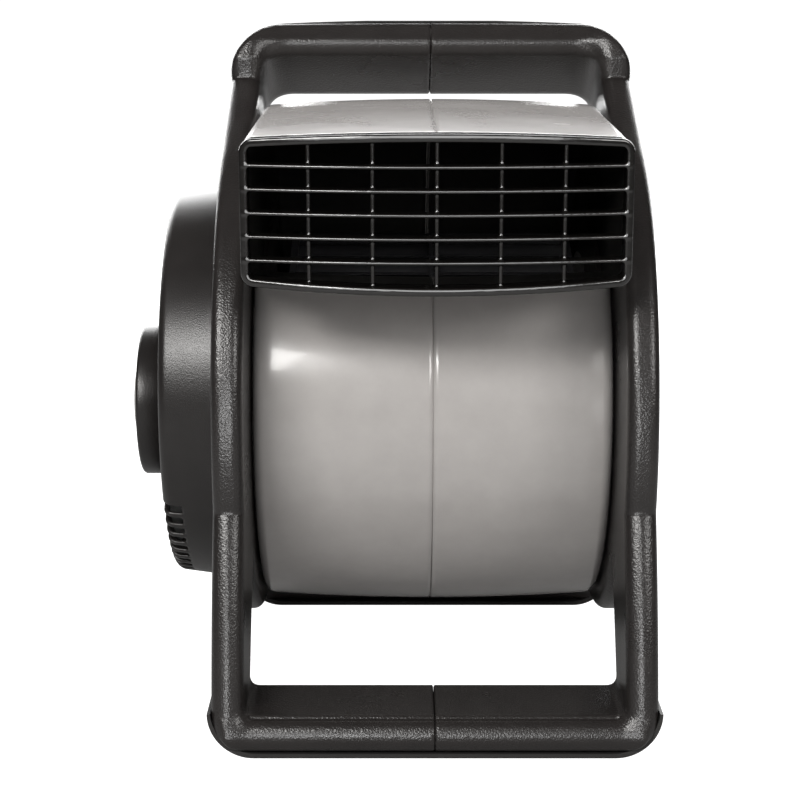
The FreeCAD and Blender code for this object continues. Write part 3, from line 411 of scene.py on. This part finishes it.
def grip_field(y, z):
    """The handle's section, with its front shoulder cut a little flatter."""
    bar = capsule_field((HANDLE_Y, HANDLE_Z), HANDLE_REAR, y, z) - HANDLE_RADIUS
    shoulder = ((z - HANDLE_Z) - (y - HANDLE_Y)) * math.sqrt(0.5) - HANDLE_RADIUS + SHOULDER_CUT
    return smooth_max(bar, shoulder, 2.5)


def stand_field(x, y, z):
    """The right half frame: ring panel, round leg bead, half bars and half handle."""
    side = outline_field(SIDE_OUTLINE, y, z)
    from_pivot = np.sqrt((y - PIVOT_Y) ** 2 + (z - PIVOT_Z) ** 2)
    within = x - PANEL_MIDDLE
    front = bar_field(y, z, -BAR, BAR, FOOT, BAR_TOP)
    rear = bar_field(y, z, REAR_BAR_FRONT, REAR_BAR_FRONT + REAR_BAR_DEPTH, FOOT, BAR_TOP - 2)
    solid = smooth_min(panel_field(x, side, y, z), smooth_max(front, within, 2), FRONT_BAR_FILLET)
    solid = smooth_min(solid, smooth_max(rear, within, 2), REAR_BAR_FILLET)
    solid = smooth_min(solid, smooth_max(grip_field(y, z), within, 2), HANDLE_FILLET)
    solid = smooth_max(solid, front_field(x, z) - 0.9, OUTER_ROUNDING)
    solid = smooth_max(solid, BORE + BORE_CLEARANCE - from_pivot, 1.5)
    solid = np.maximum(solid, FOOT - z)
    return np.maximum(solid, SEAM_GAP - x)


def bar_field(y, z, front, back, low, high):
    """A base bar's section: a flat slab with a round bead along its front, and a crease between them."""
    middle = (low + high) / 2
    half = (high - low) / 2
    across = np.abs(y - (front + back) / 2 - 4.5) - (back - front) / 2 + 4
    slab = box_field([across, np.abs(z - middle) - half - 0.8], 1.5)
    bead = np.sqrt((y - front - half) ** 2 + (z - middle) ** 2) - half
    crease = np.sqrt((y - front - half * 0.8) ** 2 + (z - middle - half) ** 2) - BEAD_CREASE
    return smooth_max(smooth_min(slab, bead, 0.6), -crease, 1)


def make_stand(materials):
    """The right half frame and its mirror image."""
    low = (SEAM_GAP, -BAR - 4, FOOT)
    high = (OUTER, PIVOT_Y + RING + 2, TOP)
    right = field_mesh("stand_right", stand_field, low, high, STAND_STEP)
    left = mirror_copy(right, "stand_left")
    finished(right, materials["frame_black"], "stand", "frame_black", "frame_right")
    finished(left, materials["frame_black"], "stand", "frame_black", "frame_left")


# ---------------------------------------------------------------- grille
GRILLE_LOW, GRILLE_HIGH = box_mm("nozzle_grille")
MOUTH_Y = GRILLE_LOW[1]
GRILLE_DEPTH = 16
GRILLE_CORNER = 8
BULGE = 495
GRILLE_HALF = GRILLE_HIGH[0]
GRILLE_MIDDLE = (GRILLE_LOW[2] + GRILLE_HIGH[2]) / 2
GRILLE_HALF_HEIGHT = (GRILLE_HIGH[2] - GRILLE_LOW[2]) / 2
BORDER = 5
HEAD_CROWN = 4.5
BLADE_PITCH = 14.6
BLADE_HALF = 1.1
BAR_PITCH = 39.3
BAR_HALF = 1.2
BLADE_EDGE = 0.9
# Middle and half of the depth that blades and bars take up behind the mouth.
BLADE_DEPTH = (7.6, 6.8)
BAR_DEPTH = (9.8, 5.6)


def behind_mouth(x, y):
    """How far a point lies behind the bulging face of the mouth."""
    return BULGE - np.sqrt(x ** 2 + (y - MOUTH_Y - BULGE) ** 2)


def grille_field(x, y, z):
    """The mouth's bulging frame, with level blades and upright bars set back behind them."""
    depth = behind_mouth(x, y)
    rise = z - GRILLE_MIDDLE
    across = np.abs(x) - GRILLE_HALF
    up = np.abs(rise) - GRILLE_HALF_HEIGHT + HEAD_CROWN * (x / GRILLE_HALF) ** 2
    outline = box_field([across, up], GRILLE_CORNER)
    rim = smooth_max(smooth_max(outline, -outline - BORDER, 1.2), -depth, 1.6)
    rim = np.maximum(rim, depth - GRILLE_DEPTH + 0.4)
    blades = None
    bars = None
    for number in range(-2, 3):
        level = np.abs(rise - number * BLADE_PITCH) - BLADE_HALF
        blade = box_field([level, np.abs(depth - BLADE_DEPTH[0]) - BLADE_DEPTH[1]], BLADE_EDGE)
        blades = blade if blades is None else np.minimum(blades, blade)
        station = np.abs(x - number * BAR_PITCH) - BAR_HALF
        bar = box_field([station + 0 * depth, np.abs(depth - BAR_DEPTH[0]) - BAR_DEPTH[1]], BLADE_EDGE)
        bars = bar if bars is None else np.minimum(bars, bar)
    cross = np.maximum(smooth_min(blades, bars, 2.2), outline + 2)
    return smooth_min(rim, cross, 1.6)


def make_grille(materials):
    """The grille as one moulding."""
    step = 0.85
    low = (-GRILLE_HALF, MOUTH_Y, GRILLE_LOW[2])
    high = (GRILLE_HALF, MOUTH_Y + GRILLE_DEPTH + 16, GRILLE_HIGH[2])
    item = field_mesh("grille", grille_field, low, high, step)
    finished(item, materials["grille_black"], "blower_head", "grille_black", "nozzle_grille")


# ---------------------------------------------------------------- scroll halves
HEAD_HALF = box_mm("scroll_right")[1][0]
MOUTH_TOP = 396.5
MOUTH_BOTTOM = 299.5
SPIRAL_START = 150
SPIRAL_GROWTH = 66
SPIRAL_POWER = 2.2
CUTOFF = -43
EDGE_RADIUS = 8
WALL = 2.5
# Where the duct's rows of points stand, back from the mouth.
DUCT_STATIONS = (0, 0.6, 5.4, 6.2, 12, 30, 60, 90, 120, 150, 180)
# How far the duct's first rows are stepped in to sit inside the grille.
MOUTH_STEPS = {0: 1.2, 1: 0.7, 2: 0.7}
# The duct's rows take up the mouth's bulge, which fades out over this many millimetres.
DUCT_ROWS = 10
DUCT_BACK = 130
BULGE_FADE = 60
# The screws across the seam, by their turn on the outline, and their bosses.
SEAM_TURNS = (150, 190, 230)
BOSS_HALF = 11.9
BOSS_RADIUS = 6.5
BOSS_BORE = 2.2
BOSS_OFFSET = 5.5


def scroll_point(turn, out=0.0):
    """A point of the scroll's outline; the turn runs from the front, down, back and up to the top."""
    radius = SPIRAL_START + SPIRAL_GROWTH * max(0.0, turn / 270) ** SPIRAL_POWER + out
    angle = math.radians(turn)
    return np.array([PIVOT_Y - radius * math.cos(angle), PIVOT_Z - radius * math.sin(angle)])


def scroll_outline():
    """The outline as (y, z) points, front top first; the first and last few lie along the duct."""
    top_end = scroll_point(270)
    front = MOUTH_Y + GRILLE_DEPTH
    slope = (top_end[1] - MOUTH_TOP) / (top_end[0] - front)
    points = [np.array([front + reach, MOUTH_TOP + slope * reach]) for reach in DUCT_STATIONS]
    points += [scroll_point(turn) for turn in np.linspace(270, CUTOFF + 5, 150)]
    corner = scroll_point(CUTOFF)
    mouth = np.array([front, MOUTH_BOTTOM])
    before, after = points[-1], corner + (mouth - corner) * 0.12
    for share in (0.25, 0.5, 0.75):
        points.append(before * (1 - share) ** 2 + corner * 2 * share * (1 - share) + after * share ** 2)
    points += [corner + (mouth - corner) * share for share in np.linspace(0.12, 0.8, 12)]
    points += [mouth + (corner - mouth) * reach / np.linalg.norm(corner - mouth)
               for reach in reversed(DUCT_STATIONS[:4])]
    return points


def scroll_columns():
    """(x, inward offset, share of the way down the side) of each point across half the scroll."""
    columns = [(-0.15, 1.1), (0.3, 0.8), (0.7, 0.0)]
    straight = HEAD_HALF - EDGE_RADIUS
    columns += [(x, 0.0) for x in np.linspace(4, straight, 12)]
    for angle in np.linspace(10, 90, 9):
        turn = math.radians(angle)
        columns.append((straight + EDGE_RADIUS * math.sin(turn), EDGE_RADIUS * (1 - math.cos(turn))))
    return columns


def make_scroll_half(sign):
    """The outer skin of one half on its way round the outline, as a bmesh and its rows of points."""
    outline = scroll_outline()
    count = len(outline)
    normals = []
    for index in range(count):
        ahead, behind = outline[min(index + 1, count - 1)], outline[max(index - 1, 0)]
        along = (ahead - behind) / np.linalg.norm(ahead - behind)
        normals.append(np.array([-along[1], along[0]]))
    columns = scroll_columns()
    work = bmesh.new()
    rows = []
    face_radius = BULGE - GRILLE_DEPTH
    face_centre = MOUTH_Y + BULGE
    for index, (point, normal) in enumerate(zip(outline, normals)):
        from_front = min(index, count - 1 - index)
        row = []
        for x, inward in columns:
            crown = HEAD_CROWN * (x / HEAD_HALF) ** 2
            rim = MOUTH_STEPS.get(from_front, 0.0)
            place = point - normal * (inward + crown + rim)
            y = place[0]
            if from_front < DUCT_ROWS and y < DUCT_BACK:
                sagitta = face_centre - math.sqrt(face_radius ** 2 - x ** 2) - (MOUTH_Y + GRILLE_DEPTH)
                fade = max(0.0, 1 - max(0.0, point[0] - MOUTH_Y - GRILLE_DEPTH) / BULGE_FADE)
                y += sagitta * fade
            row.append(work.verts.new((sign * x * MM, y * MM, place[1] * MM)))
        rows.append(row)
    for lower, upper in zip(rows, rows[1:]):
        for a, b, c, d in zip(lower, lower[1:], upper[1:], upper):
            work.faces.new((a, b, c, d))
    return work, rows


def closed_side(work, rows, sign):
    """Fills the half's flat side, leaving the round opening that the pivot ring sits in."""
    rim = [row[-1] for row in rows]
    edges = [work.edges.get((a, b)) for a, b in zip(rim, rim[1:])]
    edges.append(work.edges.new((rim[-1], rim[0])))
    hole = []
    for turn in range(96):
        angle = 2 * math.pi * turn / 96
        y = PIVOT_Y + BORE * math.cos(angle)
        z = PIVOT_Z + BORE * math.sin(angle)
        hole.append(work.verts.new((sign * HEAD_HALF * MM, y * MM, z * MM)))
    edges += [work.edges.new((a, b)) for a, b in zip(hole, hole[1:] + hole[:1])]
    bmesh.ops.triangle_fill(work, use_beauty=True, use_dissolve=False, edges=edges)
    bmesh.ops.recalc_face_normals(work, faces=work.faces)


def object_from(work, name):
    """A smooth object made of a bmesh, which is freed."""
    mesh = bpy.data.meshes.new(name)
    work.to_mesh(mesh)
    work.free()
    mesh.polygons.foreach_set("use_smooth", [True] * len(mesh.polygons))
    item = bpy.data.objects.new(name, mesh)
    bpy.context.scene.collection.objects.link(item)
    return item


def make_scroll(materials):
    """The two moulded halves, grey outside, with painted shade inside: the inner faces get a near-black copy of
    the grey.
    """
    for side, sign in (("left", -1), ("right", 1)):
        work, rows = make_scroll_half(sign)
        closed_side(work, rows, sign)
        item = object_from(work, "scroll_shell_" + side)
        face_outward(item, (0, PIVOT_Y * MM, PIVOT_Z * MM))
        thick = item.modifiers.new("wall", "SOLIDIFY")
        thick.thickness = WALL * MM
        thick.offset = -1
        finished(item, materials["housing_grey"], "blower_head", "housing_grey", "scroll_" + side)
        # The wall's inner faces take a near-black copy of the housing grey: painted shade for the dark inside of
        # the head.
        item.data.materials.append(materials["housing_painted_shade"])
        thick.material_offset = 1


def make_seam_bosses(materials):
    """Short tubes across the seam that the screws of the head go through."""
    corners = [(-BOSS_HALF, BOSS_BORE, 0), (-BOSS_HALF, BOSS_RADIUS, 1.2),
               (BOSS_HALF, BOSS_RADIUS, 1.2), (BOSS_HALF, BOSS_BORE, 0)]
    bosses = bmesh.new()
    for turn in SEAM_TURNS:
        centre = scroll_point(turn, BOSS_OFFSET)
        piece = lathe("boss_%d" % turn, rounded_profile(corners), centre[0], centre[1], 32)
        bosses.from_mesh(piece.data)
        bpy.data.objects.remove(piece)
    item = object_from(bosses, "seam_bosses")
    finished(item, materials["housing_grey"], "blower_head", "housing_grey")


def face_outward(item, centre):
    """Turns every face the same way, outward from a point inside."""
    mesh = item.data
    middle = Vector(centre)
    total = sum((polygon.center - middle).dot(polygon.normal) * polygon.area for polygon in mesh.polygons)
    if total < 0:
        mesh.flip_normals()


# ---------------------------------------------------------------- motor cover
COVER_LOW, COVER_HIGH = box_mm("motor_cover")
COVER_RADIUS = (COVER_HIGH[1] - COVER_LOW[1]) / 2
COVER_Z = (COVER_HIGH[2] + COVER_LOW[2]) / 2
COVER_FACE = -COVER_LOW[0]
COVER_SIDE = -COVER_HIGH[0]
COVER_RIM = 139.5
HUB_LOW, HUB_HIGH = box_mm("control_hub")
HUB_RADIUS = (HUB_HIGH[1] - HUB_LOW[1]) / 2
HUB_FACE = -HUB_LOW[0]
SLOT_PITCH = math.radians(4.5)
SLOT_COUNT = 29
SLOT_WIDTH = 6.8
SLOT_LENGTH = 21
SLOT_DEPTH = 17.5
COVER_WALL = 2.6
FACE_CUT = 12
WINDOW_HALF = (39, 15)
BREAKER_HOLE = 7
SWITCH_HOLE = 18
CORD_HOLE = 6.05
# The cover's face falls away from this radius outward.
DOME_RADII = range(130, 58, -6)
DOME_START = 60
DOME_REACH = 74
DOME_DROP = 4.4
OUTLET_LOW, OUTLET_HIGH = box_mm("outlet_panel")
BREAKER_LOW, BREAKER_HIGH = box_mm("breaker_body")
RELIEF_LOW, RELIEF_HIGH = box_mm("strain_relief")


def cover_profile():
    """Side view of the domed cover: (distance from the frame's face, radius)."""
    side = COVER_SIDE
    face = COVER_FACE
    dome = [(face - DOME_DROP * ((out - DOME_START) / DOME_REACH) ** 2, out) for out in DOME_RADII]
    corners = [(side, 0, 0), (side, COVER_RADIUS, 0), (face - 4.2, COVER_RIM, 7)]
    corners += [(along, out, 0) for along, out in dome]
    corners += [(face, 0, 0)]
    return [(point[0], point[1]) for point in rounded_profile(corners, 8)]


COVER_PROFILE = cover_profile()


def slot_field(x, y, z):
    """The row of radial intake slots that cuts through the cover's lower rim."""
    reach = -x
    out = np.sqrt((y - PIVOT_Y) ** 2 + (z - COVER_Z) ** 2)
    turn = np.arctan2(y - PIVOT_Y, -(z - COVER_Z))
    last = (SLOT_COUNT - 1) / 2
    nearest = np.clip(np.round(turn / SLOT_PITCH), -last, last)
    off = turn - nearest * SLOT_PITCH
    aside = np.abs(out * np.sin(off)) - SLOT_WIDTH / 2
    stretch = COVER_RIM - SLOT_LENGTH - out
    deep = COVER_FACE - SLOT_DEPTH - reach
    slot = box_field([aside + 0 * reach, stretch + 0 * reach, deep + 0 * out], 1.5)
    return np.where(np.abs(off) < 1, slot, 20.0)


def round_hole(a, b, radius):
    """Distance to a round hole that runs along the third axis."""
    return np.sqrt(a ** 2 + b ** 2) - radius


def cover_field(x, y, z):
    """The domed shell with its slots, its openings for the controls, and its cord hole."""
    reach = -x
    out = np.sqrt((y - PIVOT_Y) ** 2 + (z - COVER_Z) ** 2)
    body = outline_field(COVER_PROFILE, reach, out)
    shell = smooth_max(body, -body - COVER_WALL, 0.8)
    shell = np.maximum(shell, COVER_SIDE + 0.05 - reach)
    shell = smooth_max(shell, -slot_field(x, y, z), 1.4)
    panel_z = (OUTLET_LOW[2] + OUTLET_HIGH[2]) / 2
    breaker_y = (BREAKER_LOW[1] + BREAKER_HIGH[1]) / 2
    window = box_field([np.abs(y - PIVOT_Y) - WINDOW_HALF[0], np.abs(z - panel_z) - WINDOW_HALF[1]], 2)
    breaker = round_hole(y - breaker_y, z - panel_z, BREAKER_HOLE)
    switch = round_hole(y - PIVOT_Y, z - DIAL_Z, SWITCH_HOLE)
    for opening in (window, breaker, switch):
        through_face = np.maximum(opening, COVER_FACE - FACE_CUT - reach)
        shell = np.maximum(shell, -through_face)
    relief_x = (RELIEF_LOW[0] + RELIEF_HIGH[0]) / 2
    relief_z = (RELIEF_LOW[2] + RELIEF_HIGH[2]) / 2
    cord = np.maximum(round_hole(x - relief_x, z - relief_z, CORD_HOLE), PIVOT_Y - y)
    return np.maximum(shell, -cord)


def make_cover(materials):
    """The motor cover as one moulding."""
    step = 1.15
    item = field_mesh("cover", cover_field, COVER_LOW, COVER_HIGH, step)
    finished(item, materials["cover_black"], "stand", "cover_black", "motor_cover")


# ---------------------------------------------------------------- hub and dial
DIAL_LOW, DIAL_HIGH = box_mm("speed_dial")
DIAL_RADIUS = (DIAL_HIGH[1] - DIAL_LOW[1]) / 2
DIAL_APEX = -DIAL_LOW[0]
SHAFT_BORE = 3.02


def make_hub(materials):
    """The control hub, and the dial that turns in it."""
    hub_corners = [
        (COVER_FACE + 0.02, HUB_RADIUS - 3, 0), (COVER_FACE + 0.02, HUB_RADIUS, 0),
        (HUB_FACE - 0.2, HUB_RADIUS, 2.6), (HUB_FACE, DIAL_RADIUS + 5, 2),
        (HUB_FACE - 3, DIAL_RADIUS + 0.8, 1), (HUB_FACE - 7, DIAL_RADIUS + 0.7, 0.4), (HUB_FACE - 7, 6, 0),
    ]
    hub = lathe("hub", [(-along, out) for along, out in rounded_profile(hub_corners)], PIVOT_Y, DIAL_Z, 160)
    finished(hub, materials["cover_black"], "stand", "cover_black", "control_hub")
    dial_corners = [
        (HUB_FACE - 6.5, SHAFT_BORE, 0), (HUB_FACE - 6.5, DIAL_RADIUS, 0.6),
        (HUB_FACE + 1.6, DIAL_RADIUS - 0.6, 1.6), (DIAL_APEX - 1.6, DIAL_RADIUS - 17, 30),
        (DIAL_APEX, 8, 20), (DIAL_APEX, SHAFT_BORE, 0),
    ]
    dial = lathe("dial_knob", [(-along, out) for along, out in rounded_profile(dial_corners, 8)],
                 PIVOT_Y, DIAL_Z, 160)
    finished(dial, materials["dial_silver"], "dial", "dial_silver", "speed_dial")


# ---------------------------------------------------------------- materials
def node_input(node, name, value):
    """Sets an input's own value."""
    node.inputs[name].default_value = value


def worn_edges(tree, tint, colour, wear):
    """A colour that lightens on sharp outer edges."""
    geometry = tree.nodes.new("ShaderNodeNewGeometry")
    edge = tree.nodes.new("ShaderNodeMapRange")
    node_input(edge, "From Min", 0.53)
    node_input(edge, "From Max", 0.66)
    node_input(edge, "To Max", wear)
    tree.links.new(geometry.outputs["Pointiness"], edge.inputs["Value"])
    mix = tree.nodes.new("ShaderNodeMix")
    mix.data_type = "RGBA"
    tree.links.new(edge.outputs["Result"], mix.inputs["Factor"])
    tree.links.new(tint, mix.inputs[6])
    mix.inputs[7].default_value = (*[min(1, channel * 2.2 + 0.05) for channel in colour], 1)
    return mix.outputs[2]


def mottled_colour(tree, place, colour, variation, wear):
    """A colour that drifts darker and lighter over a few centimetres."""
    mottle = tree.nodes.new("ShaderNodeTexNoise")
    node_input(mottle, "Scale", 55)
    node_input(mottle, "Detail", 6)
    node_input(mottle, "Roughness", 0.6)
    tree.links.new(place, mottle.inputs["Vector"])
    ramp = tree.nodes.new("ShaderNodeValToRGB")
    darker = [channel * (1 - variation) for channel in colour]
    lighter = [min(1, channel * (1 + variation)) for channel in colour]
    ramp.color_ramp.elements[0].position = 0.3
    ramp.color_ramp.elements[0].color = (*darker, 1)
    ramp.color_ramp.elements[1].position = 0.7
    ramp.color_ramp.elements[1].color = (*lighter, 1)
    tree.links.new(mottle.outputs["Fac"], ramp.inputs["Fac"])
    tint = ramp.outputs["Color"]
    return worn_edges(tree, tint, colour, wear) if wear else tint


def uneven_gloss(tree, place, roughness):
    """A roughness that drifts a little to either side."""
    cloud = tree.nodes.new("ShaderNodeTexNoise")
    node_input(cloud, "Scale", 18)
    node_input(cloud, "Detail", 4)
    tree.links.new(place, cloud.inputs["Vector"])
    gloss = tree.nodes.new("ShaderNodeMapRange")
    node_input(gloss, "To Min", max(0.02, roughness - 0.06))
    node_input(gloss, "To Max", min(1, roughness + 0.06))
    tree.links.new(cloud.outputs["Fac"], gloss.inputs["Value"])
    return gloss.outputs["Result"]


def surface_grain(tree, place, grain, depth, streaks):
    """Bumps of a given size and depth in metres, drawn out across the piece if it is streaked."""
    cells = tree.nodes.new("ShaderNodeTexVoronoi")
    cells.feature = "SMOOTH_F1"
    node_input(cells, "Scale", 1 / grain)
    node_input(cells, "Smoothness", 0.6)
    if streaks:
        stretch = tree.nodes.new("ShaderNodeMapping")
        stretch.inputs["Scale"].default_value = (12, 1, 1)
        tree.links.new(place, stretch.inputs["Vector"])
        place = stretch.outputs["Vector"]
    tree.links.new(place, cells.inputs["Vector"])
    fine = tree.nodes.new("ShaderNodeTexNoise")
    node_input(fine, "Scale", 2.2 / grain)
    node_input(fine, "Detail", 3)
    tree.links.new(place, fine.inputs["Vector"])
    both = tree.nodes.new("ShaderNodeMath")
    both.operation = "MULTIPLY_ADD"
    both.inputs[1].default_value = 0.45
    tree.links.new(fine.outputs["Fac"], both.inputs[0])
    tree.links.new(cells.outputs["Distance"], both.inputs[2])
    bump = tree.nodes.new("ShaderNodeBump")
    node_input(bump, "Strength", 1.0)
    node_input(bump, "Distance", depth)
    tree.links.new(both.outputs["Value"], bump.inputs["Height"])
    return bump.outputs["Normal"]


def grain_material(name, colour, roughness, grain, depth, coat=0.0, metallic=0.0, streaks=False,
                   variation=0.12, wear=0.0):
    """Moulded or metal finish: mottled colour, uneven gloss, grain of a given size in metres, edge wear."""
    material = bpy.data.materials.new(name)
    material.use_nodes = True
    tree = material.node_tree
    shader = tree.nodes["Principled BSDF"]
    place = tree.nodes.new("ShaderNodeTexCoord").outputs["Object"]
    tree.links.new(mottled_colour(tree, place, colour, variation, wear), shader.inputs["Base Color"])
    tree.links.new(uneven_gloss(tree, place, roughness), shader.inputs["Roughness"])
    tree.links.new(surface_grain(tree, place, grain, depth, streaks), shader.inputs["Normal"])
    node_input(shader, "Metallic", metallic)
    node_input(shader, "Specular IOR Level", 0.5)
    node_input(shader, "Coat Weight", coat)
    node_input(shader, "Coat Roughness", 0.08)
    return material


def make_materials():
    """The finishes by slot; each has a colour, a roughness, a grain size and a grain depth."""
    return {
        "frame_black": grain_material("frame_black", (0.0125, 0.011, 0.0105), 0.29, 0.0013, 0.00016,
                                      wear=0.05),
        "cover_black": grain_material("cover_black", (0.0135, 0.012, 0.0115), 0.34, 0.0008, 0.00008,
                                      wear=0.04),
        "housing_grey": grain_material("housing_grey", (0.34, 0.325, 0.315), 0.24, 0.0021, 0.000008,
                                       coat=0.25, variation=0.04, wear=0.1),
        # A near-black copy of the housing grey, painted shade for the inside faces of the scroll halves.
        "housing_painted_shade": grain_material("housing_painted_shade", (0.022, 0.021, 0.020), 0.5, 0.0021, 0.00002,
                                         wear=0.05),
        "grille_black": grain_material("grille_black", (0.005, 0.0046, 0.0043), 0.16, 0.0016, 0.00001,
                                       coat=0.5, wear=0.12),
        "dial_silver": grain_material("dial_silver", (0.40, 0.385, 0.36), 0.34, 0.0005, 0.00002,
                                      metallic=0.55, variation=0.06, wear=0.3),
        "foot_rubber": grain_material("foot_rubber", (0.016, 0.0150, 0.0145), 0.5, 0.0008, 0.00008, wear=0.1),
        "zinc_steel": grain_material("zinc_steel", (0.56, 0.56, 0.55), 0.3, 0.0004, 0.00001, metallic=1,
                                     wear=0.3),
        "motor_steel": grain_material("motor_steel", (0.32, 0.325, 0.33), 0.36, 0.0005, 0.00001, metallic=1,
                                      streaks=True, wear=0.3),
        "cast_alloy": grain_material("cast_alloy", (0.55, 0.55, 0.54), 0.5, 0.0012, 0.0001, metallic=0.9,
                                     wear=0.3),
        "copper_stack": grain_material("copper_stack", (0.48, 0.2, 0.09), 0.4, 0.0009, 0.0002, metallic=0.8,
                                       streaks=True),
        "wheel_black": grain_material("wheel_black", (0.028, 0.028, 0.03), 0.5, 0.0009, 0.00006, wear=0.2),
        "felt": grain_material("felt", (0.10, 0.095, 0.088), 0.95, 0.0005, 0.0003, variation=0.3),
        "cap_grey": grain_material("cap_grey", (0.22, 0.22, 0.22), 0.35, 0.0009, 0.00002, wear=0.15),
        "cord_black": grain_material("cord_black", (0.018, 0.018, 0.018), 0.5, 0.0008, 0.00005, wear=0.15),
        "receptacle_black": grain_material("receptacle_black", (0.014, 0.014, 0.015), 0.35, 0.0007, 0.00002,
                                           wear=0.15),
        "breaker_red": grain_material("breaker_red", (0.42, 0.03, 0.025), 0.35, 0.0007, 0.00002, wear=0.15),
    }


# The CAD pieces that show and have edges to soften, with the width in millimetres.
SOFT_EDGED = {"front_foot_strip": 0.8, "rear_foot_strip": 0.8, "outlet_panel": 0.5, "receptacles": 0.3,
              "breaker_body": 0.4, "breaker_button": 0.3, "cord_hooks": 0.8, "power_plug": 0.5,
              "guard_cap": 0.4, "strain_relief": 0.5}


def paint_nodes(materials):
    """Every CAD node gets the procedural material of its slot, and soft edges where it shows."""
    slots = {entry["node"]: entry["material_slot"] for entry in frame["record"]["subparts"]}
    for node, item in frame["nodes"].items():
        item.data.materials.clear()
        item.data.materials.append(materials[slots[node]])
        if node in SOFT_EDGED:
            bevel = item.modifiers.new("soft_edges", "BEVEL")
            bevel.width = SOFT_EDGED[node] * MM
            bevel.segments = 2
            bevel.limit_method = "ANGLE"
            bevel.angle_limit = math.radians(40)
            bevel.harden_normals = True


# ---------------------------------------------------------------- stage, lights, camera
CAMERA_PLACE = (-0.0243, -1.1336, 0.4917)
CAMERA_PITCH = 77
CAMERA_LENS = 83.25
CAMERA_SHIFT = 0.00375


def make_floor():
    """A pale floor whose own glow only the camera sees."""
    work = bmesh.new()
    bmesh.ops.create_grid(work, x_segments=2, y_segments=2, size=8)
    mesh = bpy.data.meshes.new("floor")
    work.to_mesh(mesh)
    work.free()
    floor = bpy.data.objects.new("floor", mesh)
    bpy.context.scene.collection.objects.link(floor)
    material = bpy.data.materials.new("floor_pale")
    material.use_nodes = True
    shader = material.node_tree.nodes["Principled BSDF"]
    node_input(shader, "Base Color", (0.3, 0.3, 0.3, 1))
    node_input(shader, "Roughness", 0.9)
    node_input(shader, "Emission Color", (1, 1, 1, 1))
    tree = material.node_tree
    path = tree.nodes.new("ShaderNodeLightPath")
    glow = tree.nodes.new("ShaderNodeMapRange")
    node_input(glow, "To Min", 0.0)
    node_input(glow, "To Max", 1.1)
    tree.links.new(path.outputs["Is Camera Ray"], glow.inputs["Value"])
    tree.links.new(glow.outputs["Result"], shader.inputs["Emission Strength"])
    floor.data.materials.append(material)


def area_light(name, place, target, width, height, power, tint=(1, 1, 1)):
    """A rectangular light at a place, turned towards a target."""
    light = bpy.data.lights.new(name, "AREA")
    light.shape = "RECTANGLE"
    light.size = width
    light.size_y = height
    light.energy = power
    light.color = tint
    item = bpy.data.objects.new(name, light)
    bpy.context.scene.collection.objects.link(item)
    item.location = place
    item.rotation_euler = (Vector(target) - Vector(place)).to_track_quat("-Z", "Y").to_euler()
    return item


def lit_only(light, names):
    """Keeps a light to the named pieces."""
    chosen = bpy.data.collections.new(light.name + "_subjects")
    for name in names:
        chosen.objects.link(bpy.data.objects[name])
    light.light_linking.receiver_collection = chosen


def make_lights():
    """Soft boxes to both sides, fills that leave no reflection, and a wall that the top faces mirror."""
    middle = (0, 0.1, 0.22)
    warm = (1, 0.985, 0.965)
    overhead = area_light("overhead", (0, 0.3, 1.7), middle, 1.4, 0.9, 25)
    overhead.visible_glossy = False
    front_fill = area_light("front_fill", (0.3, -2.2, 0.75), middle, 1.4, 0.8, 13)
    front_fill.visible_glossy = False
    area_light("left_key", (-0.97, -1.7, 1.4), middle, 1.1, 0.5, 50, warm)
    area_light("right_key", (1.35, -1.45, 1.1), middle, 0.8, 0.5, 17, warm)
    low_front = area_light("low_front", (-0.2, -1.9, 0.25), middle, 0.3, 0.6, 15)
    lit_only(low_front, ("stand_left", "stand_right"))
    grille_front = area_light("grille_front", (0, -1.8, 0.95), (0, 0, 0.35), 1.8, 1.4, 48)
    lit_only(grille_front, ("grille",))
    back_wall = area_light("back_wall", (0, 2.3, 0.95), (0, 0, 0.5), 3.6, 1.4, 88)
    back_wall.visible_camera = False
    world = bpy.data.worlds.new("studio")
    world.use_nodes = True
    nodes, links = world.node_tree.nodes, world.node_tree.links
    path = nodes.new("ShaderNodeLightPath")
    strength = nodes.new("ShaderNodeMapRange")
    node_input(strength, "To Min", 0.03)
    node_input(strength, "To Max", 1.1)
    links.new(path.outputs["Is Camera Ray"], strength.inputs["Value"])
    links.new(strength.outputs["Result"], nodes["Background"].inputs["Strength"])
    node_input(nodes["Background"], "Color", (1, 1, 1, 1))
    bpy.context.scene.world = world


def make_camera():
    """In front, a little left of the middle, looking down by 13 degrees."""
    data = bpy.data.cameras.new("camera")
    data.sensor_width = 36
    data.lens = CAMERA_LENS
    data.shift_x = CAMERA_SHIFT
    camera = bpy.data.objects.new("camera", data)
    bpy.context.scene.collection.objects.link(camera)
    camera.location = CAMERA_PLACE
    camera.rotation_euler = (math.radians(CAMERA_PITCH), 0, 0)
    bpy.context.scene.camera = camera


materials = make_materials()
paint_nodes(materials)
make_stand(materials)
make_grille(materials)
make_scroll(materials)
make_seam_bosses(materials)
make_cover(materials)
make_hub(materials)
make_floor()
make_lights()
make_camera()
bpy.context.scene.view_settings.view_transform = "Standard"
